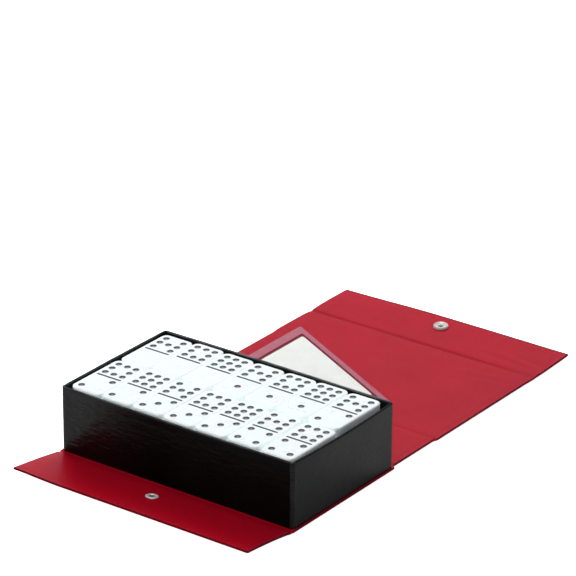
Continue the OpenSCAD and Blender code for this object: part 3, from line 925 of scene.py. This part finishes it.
# grid stations in from a free edge and in from a fold
EDGE_STATIONS = [0, .06, .18, .38, .65, 1.0, 1.5, 2.1, 2.6, 2.95, 3.2, 3.4, 3.6, 3.85, 4.15, 4.5,
                 4.75, 5.1, 5.8, 7.2, 9.5]
FOLD_STATIONS = [0, .08, .22, .45, .75, 1.1, 1.6, 2.3, 3.3, 4.5, 4.8, 6.2, 9.0]
GRID_STEP = 3.6
FOLD_CORNER_R = 0.9
BOARD_INSET = 4.85
MID_H = -1.25                                # middle of the panels' thickness
SIDE_U = 94.0                                # about where the panels' sides are
DEEP, SOFT, FAINT = 0.30, 0.10, 0.04         # how far the vinyl sinks at a fold
FAR = 1e3


def fading(u):
    """The last fold is pressed in at the left and almost flat at the right."""
    return 0.34 - 0.22 * ease(45, 88, u)


def fold_depth(depth, u):
    return depth(u) if callable(depth) else depth + 0 * u


def stations(length, start, end, step):
    first, last = start[-1], length - end[-1]
    count = max(1, int(round((last - first) / step)))
    middle = [first + (last - first) * i / count for i in range(1, count)]
    return np.array(start + middle + [length - x for x in reversed(end)])


def hinged(fold_y, rise=0.0, towards=1):
    """Placing function of a panel: u is X, v runs from the fold, h is above the inner face."""
    c, s = math.cos(rise), math.sin(rise)

    def place(u, v, h):
        return np.stack([u, fold_y + towards * (v * c - h * s), PANEL_T + v * s + h * c], -1)
    return place


def flat(u, v):
    return 0 * v


class Panel:
    """One panel of the cover, from start to end along v. It has a fold at its start and,
    if folds has two depths, at its end; otherwise the end is free. flare is how much wider
    the ends are. nick is the v and size of an outward step of the left side."""

    def __init__(self, width, start, end, place, folds, corner_r=1.2, bow=flat, relief=flat,
                 flare=(0, 0), nick=None, step=GRID_STEP, shaded_end=False):
        self.width, self.start, self.end, self.place = width, start, end, place
        self.bow, self.relief, self.shaded_end = bow, relief, shaded_end
        free_end = len(folds) == 1
        u = stations(width, EDGE_STATIONS, EDGE_STATIONS, GRID_STEP) - width / 2
        end_stations = EDGE_STATIONS if free_end else FOLD_STATIONS
        v = stations(end - start, FOLD_STATIONS, end_stations, step) + start
        self.columns, self.rows = len(u), len(v)
        u, v = np.meshgrid(u, v)
        to_end = np.abs(v - end) if free_end else np.full_like(u, FAR)
        for edge, way, r in ((start, -1, FOLD_CORNER_R),
                             (end, 1, corner_r if free_end else FOLD_CORNER_R)):
            for side in (-1, 1):
                a = (u * side - (width / 2 - r)) / r
                b = (v - (edge - way * r)) * way / r
                corner = (a > 0) & (b > 0)
                a, b = a[corner], b[corner]
                u[corner] = side * (width / 2 - r + r * a * np.sqrt(1 - b * b / 2))
                v[corner] = edge - way * r + way * r * b * np.sqrt(1 - a * a / 2)
        to_edge = smooth_min(width / 2 - np.abs(u), to_end, 1.17 * corner_r)
        self.to_edge = np.clip(to_edge, 0, None)
        self.to_fold = np.full_like(u, FAR)
        self.sink = np.zeros_like(u)
        for edge, depth in zip((start, end), folds):
            distance = np.abs(v - edge)
            self.to_fold = np.minimum(self.to_fold, distance)
            sink = fold_depth(depth, u) * (1 - ease(0, 1.5, distance))
            self.sink = np.maximum(self.sink, sink)
        # the sides run into the next panel's width over the last few millimetres
        for edge, widening in zip((start, end), flare):
            u *= 1 + widening / width * (1 - ease(0.5, 11, np.abs(v - edge)))
        if nick:
            at, size = nick
            u -= (size * ease(width / 2 - 12, width / 2, -u) * ease(at - 1.6, at + 1.6, v)
                  * ease(0, 9, end - v))
        # the outline itself stays at the mid plane
        self.to_edge[:, [0, -1]] = 0
        if free_end:
            self.to_edge[-1, :] = 0
        self.u, self.v = u, v

    def surface(self, inner):
        """Height of a sheet's outer skin above the panel's nominal face."""
        d = self.to_edge
        edge = -1.13 * (1 - np.sqrt(clip01(1 - (1 - clip01(d / 0.42)) ** 2)))
        low = -0.04 * (1 - ease(2.6, 6.0, d)) if inner else -1.02 * (1 - ease(0.6, 4.3, d))
        weld = -0.02 * bump_at(d, 3.5, 0.7)
        soft = ease(4.5, 12, np.minimum(d, self.to_fold))
        swell = 0.10 * layered_noise(self.u / 38, self.v / 38, 31 if inner else 47) * soft
        height = np.maximum(edge + low + weld - self.sink, MID_H) + swell
        return height + self.relief(self.u, self.v) * soft if inner else height

    def build_sheet(self, name, inner, body, stands):
        face = self.surface(inner)
        near = np.minimum(self.to_edge, self.to_fold)
        back = np.where(near < 4.6, -1.28, face - 0.4)
        if not inner:
            face, back = -PANEL_T - face, -PANEL_T - back
        bow = self.bow(self.u, self.v)
        points = [self.place(self.u, self.v, h + bow).reshape(-1, 3) for h in (face, back)]
        # weld: a faint darker line along the weld groove 3.5 mm in, painted shade in the folds and
        # painted shade along the outline
        weld = (0.02 * bump_at(self.to_edge, 3.5, 0.6) + 0.9 * self.sink
                + 1.0 * (1 - ease(0.3, 1.2, self.to_edge)))
        # painted shade along the free end
        if self.shaded_end:
            weld = weld + 1.0 - ease(0.7, 2.3, self.end - self.v)
        # a paler band about 1.6 mm in from the outline
        paler_edge = 0.18 * bump_at(self.to_edge, 1.6, 0.9)
        attributes = {"weld": np.tile(clip01(weld).ravel(), 2), "paler_edge": np.tile(paler_edge.ravel(), 2)}
        make(name, np.concatenate(points), slab_faces(self.columns, self.rows), [RED_VINYL],
             attributes=attributes, body=body, stands=stands)

    def build_board(self, name, body, stands):
        columns, rows = 33, 17
        half = self.width / 2 - BOARD_INSET
        u, v = np.meshgrid(np.linspace(-half, half, columns),
                           np.linspace(self.start + BOARD_INSET, self.end - BOARD_INSET, rows))
        bow = self.bow(u, v)
        points = [self.place(u, v, bow + h).reshape(-1, 3) for h in (-0.55, -PANEL_T + 0.55)]
        ob = make(name, np.concatenate(points), slab_faces(columns, rows), [CHIPBOARD],
                  body=body, stands=stands, smooth=False)
        bevel(ob, 0.2)


def bow_front(u, v):
    """The front flap bellies up a little, and its left corner curls."""
    t = clip01(v / FRONT_L)
    return 0.60 * np.sin(math.pi * t**0.85) + 0.6 * t + 0.9 * t * t * ease(55, SIDE_U, -u)


def bow_snap(u, v):
    """The snap flap is held up by its cap, so its corners droop."""
    t = clip01(v / SNAP_L)
    return -t * t * (1.5 * ease(15, SIDE_U, -u) + 0.35 * ease(15, SIDE_U, u))


def snap_dent(u, v, centre_v):
    return -0.16 * bump_at(np.hypot(u - SNAP_X, v - centre_v), 0, 8.0)


def relief_front(u, v):
    raised = 0.05 * bump_at(np.hypot(u - SNAP_X, v - STUD_V), 12, 5.0)
    return snap_dent(u, v, STUD_V) + raised


def relief_snap(u, v):
    return snap_dent(u, v, SOCKET_V) + pulls(u, v, height=0.42)


def relief_lid(u, v):
    return pulls(u, LID_L - v, height=0.28)


def pulls(u, v, height):
    """Slack in the vinyl that runs in from the right end of the last fold, v away from it."""
    run = ease(26, 78, u) * (1 - 0.4 * ease(86, SIDE_U, u))
    inward = SIDE_U - u
    phase = 2 * math.pi * (v - 0.08 * inward) / (9.5 + 0.03 * inward) + 0.9 * np.sin(u / 13)
    return np.maximum(height * np.sin(phase) * run * (1 - ease(15, 31, v)), -0.28)


PLACE_FRONT = hinged(FRONT_FOLD_Y, FRONT_RISE, towards=-1)
PLACE_SNAP = hinged(SNAP_FOLD_Y, SNAP_RISE)

PANELS = {
    "base": Panel(BASE_W, FRONT_FOLD_Y + CREASE, SPINE_FOLD_Y - CREASE, hinged(0),
                  folds=(SOFT, DEEP)),
    "front_flap": Panel(FRONT_W, CREASE, FRONT_L, PLACE_FRONT, folds=(SOFT,), corner_r=1.0,
                        bow=bow_front, relief=relief_front),
    "spine": Panel(SPINE_W, CREASE, SPINE_L - CREASE, hinged(SPINE_FOLD_Y), folds=(DEEP, FAINT)),
    "lid": Panel(LID_W, CREASE, LID_L - CREASE, hinged(LID_FOLD_Y), folds=(FAINT, fading),
                 relief=relief_lid, flare=(0, SNAP_JOIN_W - LID_W), nick=(77.0, 0.8)),
    "snap_flap": Panel(SNAP_W, CREASE, SNAP_L, PLACE_SNAP, folds=(fading,), corner_r=0.8,
                       bow=bow_snap, relief=relief_snap, flare=(SNAP_JOIN_W - SNAP_W, 0),
                       step=1.5, shaded_end=True),
}
for key, panel in PANELS.items():
    panel_body = "tray" if key == "base" else key
    panel.build_sheet(f"{key}_inner_sheet", True, panel_body, (f"{key}_vinyl_inner",))
    panel.build_sheet(f"{key}_outer_sheet", False, panel_body, (f"{key}_vinyl_outer",))
    panel.build_board(f"{key}_chipboard", panel_body, (f"{key}_board",))

# ---------------------------------------------------------------- fold strips

# across the fold, in mm, and along it, from -1 to 1
STRIP_V = np.array([-3.4, -2.7, -2.1, -1.6, -1.2, -0.8, -0.4, 0,
                    0.4, 0.8, 1.2, 1.6, 2.1, 2.7, 3.4])
STRIP_ENDS = np.array([0.992, 0.996, 0.9985, 1])
STRIP_U = np.concatenate([-STRIP_ENDS[::-1], np.linspace(-0.98, 0.98, 61), STRIP_ENDS])


def build_fold_strip(name, node, fold_y, width_a, width_b, depth,
                     rise=0.0, towards=1, notch=0.35):
    """Strip of vinyl across a fold. towards is the way, along y, from body_a to body_b;
    rise is the slope of body_b; notch draws the strip's ends in at the fold."""
    edge = clip01((1 - np.abs(STRIP_U)) / 0.008)
    roundness = np.sqrt(clip01(1 - (1 - edge) ** 2))
    tops, bottoms = [], []
    for v in STRIP_V:
        k = float(ease(-2.2, 2.2, v))
        half = (width_a + (width_b - width_a) * k) / 2 - 0.05 - notch * math.exp(-((v / 1.2) ** 2))
        place = hinged(fold_y, rise * float(ease(-1.6, 1.6, v)), towards)
        tuck = float(ease(1.2, 2.6, abs(v)))
        u = STRIP_U * half
        top = -fold_depth(depth, u) - 0.05 - 0.45 * tuck
        for rows, height in ((tops, top), (bottoms, -1.78 + 0.28 * tuck)):
            h = MID_H + (height - MID_H) * roundness
            h = h + 0.03 * value_noise(u / 9.0, v / 1.4, 61) * roundness
            rows.append(place(u, v, h))
    # weld: painted shade along the middle of the fold, stronger where the fold sinks deeper
    sunk = fold_depth(depth, STRIP_U * (width_a + width_b) / 4)
    weld = np.tile(np.outer(bump_at(STRIP_V, 0, 1.4), 0.9 * sunk).ravel(), 2)
    ob = make(name, np.concatenate(tops + bottoms), slab_faces(len(STRIP_U), len(STRIP_V)),
              [RED_VINYL], attributes={"weld": weld, "paler_edge": 0 * weld},
              stands=(node,))
    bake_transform(ob)


build_fold_strip("fold_strip_front", "crease_front", FRONT_FOLD_Y,
                 BASE_W, FRONT_W, depth=SOFT, rise=FRONT_RISE, towards=-1)
build_fold_strip("fold_strip_spine", "crease_back", SPINE_FOLD_Y,
                 BASE_W, SPINE_W, depth=DEEP)
build_fold_strip("fold_strip_lid", "crease_lid", LID_FOLD_Y,
                 SPINE_W, LID_W, depth=FAINT)
build_fold_strip("fold_strip_snap", "crease_snap_flap", SNAP_FOLD_Y,
                 SNAP_JOIN_W, SNAP_JOIN_W, depth=fading, rise=SNAP_RISE, notch=0.0)

# ---------------------------------------------------------------- pocket and card

# right triangle on the lid with its square corner at the near left
POCKET_X0, POCKET_X1 = -84.5, 42.2
POCKET_Y, POCKET_RISE = LID_FOLD_Y + 26.5, 65.8
POCKET_SLOPE = POCKET_RISE / (POCKET_X1 - POCKET_X0)
ARC_POINTS, SIDE_POINTS = 7, 28

# inset from the left, slope and foot, corner radius, height, material of the band from here
# (0 weld, 1 line, 2 clear)
POCKET_RINGS = (
    (0.0, 0.0, 0.0, 0.8, 0.02, 0), (0.15, 0.15, 0.12, 0.8, 0.22, 0), (0.5, 0.5, 0.35, 0.8, 0.27, 0),
    (0.9, 0.9, 0.6, 0.9, 0.20, 0), (1.5, 1.5, 0.8, 0.9, 0.25, 0), (4.6, 2.4, 1.1, 1.0, 0.28, 0),
    (7.8, 3.7, 1.4, 1.1, 0.30, 0), (8.4, 4.2, 1.6, 1.2, 0.25, 1), (8.9, 4.7, 1.8, 1.2, 0.17, 1),
    (10.9, 5.75, 2.1, 1.3, 0.17, 1), (11.3, 6.1, 2.4, 1.4, 0.36, 2), (11.9, 6.6, 2.9, 1.6, 0.47, 2),
    (16, 10, 6, 2.4, 0.50, 2), (24, 16, 10, 2.6, 0.49, 2), (33, 22, 15, 2.6, 0.52, 2))
# inset from the left, slope and foot, corner radius, height
CARD_TOP = (
    (11.5, 6.05, 2.4, 1.8, 0.175), (11.53, 6.08, 2.43, 1.8, 0.24), (11.65, 6.2, 2.55, 1.8, 0.27),
    (14, 8.5, 5, 2.4, 0.275), (20, 14, 9, 2.6, 0.28), (30, 20, 14, 2.6, 0.285))
CARD_BOTTOM = (
    (11.53, 6.08, 2.43, 1.8, 0.08), (11.65, 6.2, 2.55, 1.8, 0.055),
    (20, 14, 9, 2.6, 0.05), (30, 20, 14, 2.6, 0.05))


def fillet_ends(before, corner, after, radius):
    """Where a corner's rounding starts and ends."""
    back, ahead = before - corner, after - corner
    back_l, ahead_l = np.linalg.norm(back), np.linalg.norm(ahead)
    back, ahead = back / back_l, ahead / ahead_l
    half = math.acos(np.clip(back @ ahead, -1, 1)) / 2
    cut = min(radius / math.tan(half), 0.25 * min(back_l, ahead_l))
    return corner + back * cut, corner + ahead * cut


def pocket_outline(left, slope, foot, radius):
    """The triangle moved in by a different amount along each side, with rounded corners."""
    x, y = POCKET_X0 + left, POCKET_Y + foot
    # height of the moved slope line at POCKET_X0
    top = POCKET_Y + POCKET_RISE - slope * math.hypot(1, POCKET_SLOPE)
    corners = np.array([[x, y], [POCKET_X0 + (top - y) / POCKET_SLOPE, y],
                        [x, top - POCKET_SLOPE * left]])
    ends = [fillet_ends(corners[i - 1], corners[i], corners[(i + 1) % 3], radius)
            for i in range(3)]
    points = []
    for i in range(3):
        start, end = ends[i]
        for j in range(ARC_POINTS):
            f = j / (ARC_POINTS - 1)
            points.append((1 - f) ** 2 * start + 2 * f * (1 - f) * corners[i] + f * f * end)
        side = ends[(i + 1) % 3][0] - end
        points += [end + side * j / SIDE_POINTS for j in range(1, SIDE_POINTS)]
    return np.array(points)


def build_pocket():
    upper, materials = [], []
    for *shape, height, material in POCKET_RINGS:
        xy = pocket_outline(*shape)
        n = len(xy)
        wave = 0.0
        if height >= 0.1:
            # y from the lid's fold, so the waves move with the lid
            wave = 0.03 * value_noise(xy[:, 0] / 14, (xy[:, 1] - LID_FOLD_Y) / 14, 71)
        upper.append(np.column_stack([xy, PANEL_T + height + wave + np.zeros(n)]))
        materials += [material] * n
    rows = len(POCKET_RINGS)
    materials = materials[:(rows - 1) * n] + [2]
    faces = grid_faces(n, rows, closed=True) + [cap(n, (rows - 1) * n)]
    # underside, a sheet's thickness lower
    size = rows * n
    lower = [ring - np.array([0, 0, 0.16 if j else 0.015]) for j, ring in enumerate(upper)]
    faces += [tuple(i + size for i in face) for face in faces]
    faces += ring_to_ring(n, 0, size)
    make("clear_pocket", np.concatenate(upper + lower), faces, [FILM_WELD, FILM_LINE, FILM_CLEAR],
         face_materials=materials * 2 + [0] * n, body="lid",
         stands=("pocket_sheet",))


def build_card():
    rings = []
    for *shape, height in CARD_TOP + CARD_BOTTOM:
        xy = pocket_outline(*shape)
        rings.append(np.column_stack([xy, np.full(len(xy), PANEL_T + height)]))
    n = len(rings[0])
    top, bottom = len(CARD_TOP), len(CARD_BOTTOM)
    faces = grid_faces(n, top, closed=True) + [cap(n, (top - 1) * n)]
    faces += ring_to_ring(n, 0, top * n)
    faces += grid_faces(n, bottom, top * n, closed=True) + [cap(n, (top + bottom - 1) * n)]
    make("score_card_sheet", np.concatenate(rings), faces, [WHITE_CARD], body="score_card",
         stands=("score_card",))


build_pocket()
build_card()

# ---------------------------------------------------------------- snap fastener

# profiles: radius, height above the flap's inner face
POST_PROFILE = (
    (0.02, 0.04), (0.9, 0.05), (1.6, 0.10), (2.0, 0.26), (2.2, 0.48), (2.45, 0.67), (2.8, 0.74),
    (3.25, 0.71), (3.75, 0.61), (4.18, 0.45), (4.44, 0.28), (4.5, 0.06), (4.42, -0.06),
    (4.0, -0.10), (2.1, -0.10), (1.98, -0.4), (1.98, -2.3), (0.02, -2.3))
STUD_PROFILE = (
    (0.02, -2.25), (1.2, -2.25), (1.9, -2.28), (2.02, -2.36), (2.06, -2.44), (3.2, -2.42),
    (4.2, -2.44), (4.55, -2.55), (4.6, -2.75), (4.45, -2.98), (4.0, -3.06), (2.6, -3.06),
    (1.85, -3.10), (1.62, -3.3), (1.60, -3.6), (1.72, -3.95), (1.75, -4.2), (1.62, -4.45),
    (1.25, -4.58), (0.7, -4.62), (0.02, -4.62))
SOCKET_PROFILE = (
    (1.98, -0.12), (1.98, 0.5), (2.0, 0.9), (2.25, 1.10), (2.8, 1.16), (3.4, 1.24), (3.8, 1.50),
    (4.15, 1.88), (4.5, 2.08), (4.88, 2.06), (5.16, 1.80), (5.30, 1.35), (5.36, 0.8),
    (5.40, 0.35), (5.38, 0.1), (5.2, -0.1), (4.9, -0.12), (2.8, -0.12))
CAP_PROFILE = (
    (0.02, -3.60), (1.0, -3.60), (2.4, -3.55), (3.8, -3.45), (4.9, -3.30), (5.7, -3.12),
    (6.12, -2.92), (6.2, -2.72), (6.08, -2.56), (5.6, -2.48), (4.0, -2.46), (2.15, -2.46),
    (2.02, -2.1), (2.02, -0.4), (1.94, -0.02), (1.75, 0.06), (1.5, 0.02), (1.25, -0.04),
    (0.6, -0.07), (0.02, -0.07))
TURNED_SEGMENTS = 72
BRIGHT = 5.0                                 # value of rad where the nickel gets no painted shade


def build_turned(name, profile, place, v, lift, body, stands, closed=False, wires=(),
                 dark_above=math.inf, dark_scale=1.0, foot_below=-math.inf):
    """Turned part at v from its flap's fold, axis normal to the flap. A closed profile makes
    a ring, an open one gets flat caps. Points above dark_above get painted shade towards the
    axis, and the outer foot below foot_below gets a painted contact shadow."""
    def rad(r, h):
        if r > 4.3 and h < foot_below:
            return 1.2
        return r * dark_scale if h > dark_above else BRIGHT

    n, rows = TURNED_SEGMENTS, len(profile)
    turns = [2 * math.pi * i / n for i in range(n)]
    points = np.array([(SNAP_X + r * math.cos(turn), v + r * math.sin(turn), lift + h)
                       for r, h in profile for turn in turns])
    faces = grid_faces(n, rows, closed=True)
    if closed:
        faces += ring_to_ring(n, (rows - 1) * n, 0)
    else:
        faces += [cap(n, 0), cap(n, (rows - 1) * n)]
    shade = np.repeat([rad(r, h) for r, h in profile], n)
    for wire_points, wire_faces in wires:
        start = len(points)
        points = np.concatenate([points, wire_points + np.array([SNAP_X, v, lift])])
        shade = np.concatenate([shade, np.full(len(wire_points), BRIGHT)])
        faces += [tuple(i + start for i in face) for face in wire_faces]
    ob = make(name, place(*points.T), faces, [NICKEL], attributes={"rad": shade}, body=body,
              stands=stands)
    modifier = ob.modifiers.new("smooth_round", "SUBSURF")
    modifier.levels = modifier.render_levels = 1


def wire(path, radius, n=8):
    """A round wire along a path, as a closed tube."""
    path = np.array(path, float)
    points = []
    for i, centre in enumerate(path):
        ahead = path[min(i + 1, len(path) - 1)] - path[max(i - 1, 0)]
        ahead /= np.linalg.norm(ahead)
        a = np.cross(ahead, [0, 0, 1.0])
        a /= np.linalg.norm(a)
        b = np.cross(ahead, a)
        for k in range(n):
            turn = 2 * math.pi * k / n
            points.append(centre + radius * (math.cos(turn) * a + math.sin(turn) * b))
    faces = grid_faces(n, len(path), closed=True)
    faces += [cap(n, 0), cap(n, (len(path) - 1) * n)]
    return np.array(points), faces


def socket_wires():
    """Two bent wires, one on each side of the socket's hole."""
    return [wire([(side * (1.72 + 0.10 * (1 - abs(q))), q * 1.9, 0.95)
                  for q in np.linspace(-1.0, 1.0, 13)], radius=0.16) for side in (-1, 1)]


def build_snap():
    bowed = float(bow_front(SNAP_X, STUD_V))
    build_turned("snap_washer_post", POST_PROFILE, PLACE_FRONT, STUD_V, bowed - 0.16,
                 "front_flap", ("snap_post",), dark_above=-1.0, dark_scale=0.72, foot_below=0.35)
    build_turned("snap_stud_cap", STUD_PROFILE, PLACE_FRONT, STUD_V, bowed,
                 "front_flap", ("snap_stud",))
    build_turned("snap_socket_ring", SOCKET_PROFILE, PLACE_SNAP, SOCKET_V, -0.10,
                 "snap_flap", ("snap_socket",), closed=True, wires=socket_wires(),
                 foot_below=0.45)
    build_turned("snap_dome_cap", CAP_PROFILE, PLACE_SNAP, SOCKET_V, 0.0,
                 "snap_flap", ("snap_cap",), dark_above=-1.0)


build_snap()

# the tray's floor board keeps its CAD shape
floor_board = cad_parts["tray_floor_board"]
floor_board.data.materials.clear()
floor_board.data.materials.append(CHIPBOARD)

# ---------------------------------------------------------------- stage, in metres


def build_floor():
    """Pale floor that looks plain white to the camera."""
    half, z = 14.0, -0.0003
    mesh = bpy.data.meshes.new("studio_floor")
    corners = [(-half, -half, z), (half, -half, z), (half, half, z), (-half, half, z)]
    mesh.from_pydata(corners, [], [(0, 1, 2, 3)])
    ob = bpy.data.objects.new("studio_floor", mesh)
    bpy.context.scene.collection.objects.link(ob)
    m = Material("floor_paper")
    cloud = m.noise(scale=3, detail=3, roughness=0.5)
    base = m.mix(m.fit(cloud, over=(0.3, 0.7)), srgb(246, 246, 247), srgb(241, 241, 242))
    to_camera = m.add("ShaderNodeLightPath").outputs["Is Camera Ray"]
    m.set(Base_Color=base, Roughness=0.8, Specular_IOR_Level=0.15,
          Emission_Color=(1, 1, 1, 1), Emission_Strength=m.calc("MULTIPLY", to_camera, 1.0))
    mesh.materials.append(m.material)


def build_world():
    """White to the camera. It lights more from the back and near the horizon."""
    world = bpy.data.worlds.new("studio")
    bpy.context.scene.world = world
    w = NodeTree(world)
    output = w.add("ShaderNodeOutputWorld")
    light = w.add("ShaderNodeBackground")
    seen = w.add("ShaderNodeBackground")
    seen.inputs[0].default_value = (1, 1, 1, 1)
    seen.inputs[1].default_value = 1.0
    direction = w.add("ShaderNodeTexCoord").outputs["Generated"]
    dot = w.add("ShaderNodeVectorMath", operation="DOT_PRODUCT")
    w.put(dot.inputs[0], direction)
    dot.inputs[1].default_value = (0.35, 0.92, 0.15)
    backness = w.fit(dot.outputs["Value"], over=(-0.75, 0.75), to=(0.05, 0.25))
    split = w.add("ShaderNodeSeparateXYZ")
    w.put(split.inputs[0], direction)
    level = w.fit(split.outputs["Z"], over=(0.12, 0.42), to=(1.5, 0.85))
    light.inputs[0].default_value = (0.97, 0.985, 1.0, 1)
    w.put(light.inputs[1], w.calc("MULTIPLY", backness, level))
    mix = w.add("ShaderNodeMixShader")
    w.put(mix.inputs[0], w.add("ShaderNodeLightPath").outputs["Is Camera Ray"])
    w.put(mix.inputs[1], light.outputs[0])
    w.put(mix.inputs[2], seen.outputs[0])
    w.put(output.inputs[0], mix.outputs[0])


def add_area(name, direction, elevation, distance, size, power, colour, glossy=True):
    """Area light seen from the tray in a plan direction and at an elevation in degrees."""
    target = Vector((0, 0, 0.03))
    away = Vector((*direction, 0)).normalized() * math.cos(math.radians(elevation))
    away.z = math.sin(math.radians(elevation))
    light = bpy.data.lights.new(name, "AREA")
    light.shape = "RECTANGLE"
    light.size, light.size_y = size
    light.energy = power
    light.color = colour
    ob = bpy.data.objects.new(name, light)
    ob.location = target + away * distance
    ob.rotation_mode = "QUATERNION"
    ob.rotation_quaternion = (-away).to_track_quat("-Z", "Y")
    ob.visible_glossy = glossy
    bpy.context.scene.collection.objects.link(ob)


def add_camera():
    data = bpy.data.cameras.new("camera")
    data.sensor_width = 36.0
    data.sensor_fit = "HORIZONTAL"
    data.lens = 224.9108125
    data.clip_start = 0.05
    data.clip_end = 50
    ob = bpy.data.objects.new("camera", data)
    place = (1.277904, -1.690211, 1.065758)
    yaw = math.radians(-36.025091)           # from +Y towards +X
    pitch = math.radians(23.93396614)        # downwards
    roll = math.radians(0.3865785)
    ahead = Vector((math.sin(yaw) * math.cos(pitch), math.cos(yaw) * math.cos(pitch),
                    -math.sin(pitch)))
    level_right = Vector((math.cos(yaw), -math.sin(yaw), 0))
    level_up = level_right.cross(ahead)
    c, s = math.cos(roll), math.sin(roll)
    right = c * level_right + s * level_up
    up = -s * level_right + c * level_up
    rows = [(right[i], up[i], -ahead[i], place[i]) for i in range(3)]
    ob.matrix_world = Matrix((*rows, (0, 0, 0, 1)))
    bpy.context.scene.collection.objects.link(ob)
    bpy.context.scene.camera = ob


COOL_WHITE, WARM_WHITE = (0.97, 0.985, 1.0), (1.0, 0.995, 0.98)

build_floor()
build_world()
add_area("key_back_left", direction=(-0.62, 0.79), elevation=34, distance=2.4, size=(1.7, 1.0),
         power=56, colour=WARM_WHITE, glossy=False)
add_area("soft_top", direction=(0.1, -0.3), elevation=78, distance=2.0, size=(1.6, 1.6),
         power=22, colour=COOL_WHITE)
add_area("low_front_left", direction=(-0.45, -0.89), elevation=11, distance=2.2,
         size=(1.6, 0.5), power=20, colour=COOL_WHITE, glossy=False)
add_camera()
bpy.context.scene.view_settings.view_transform = "Standard"
bpy.context.scene.view_settings.look = "None"
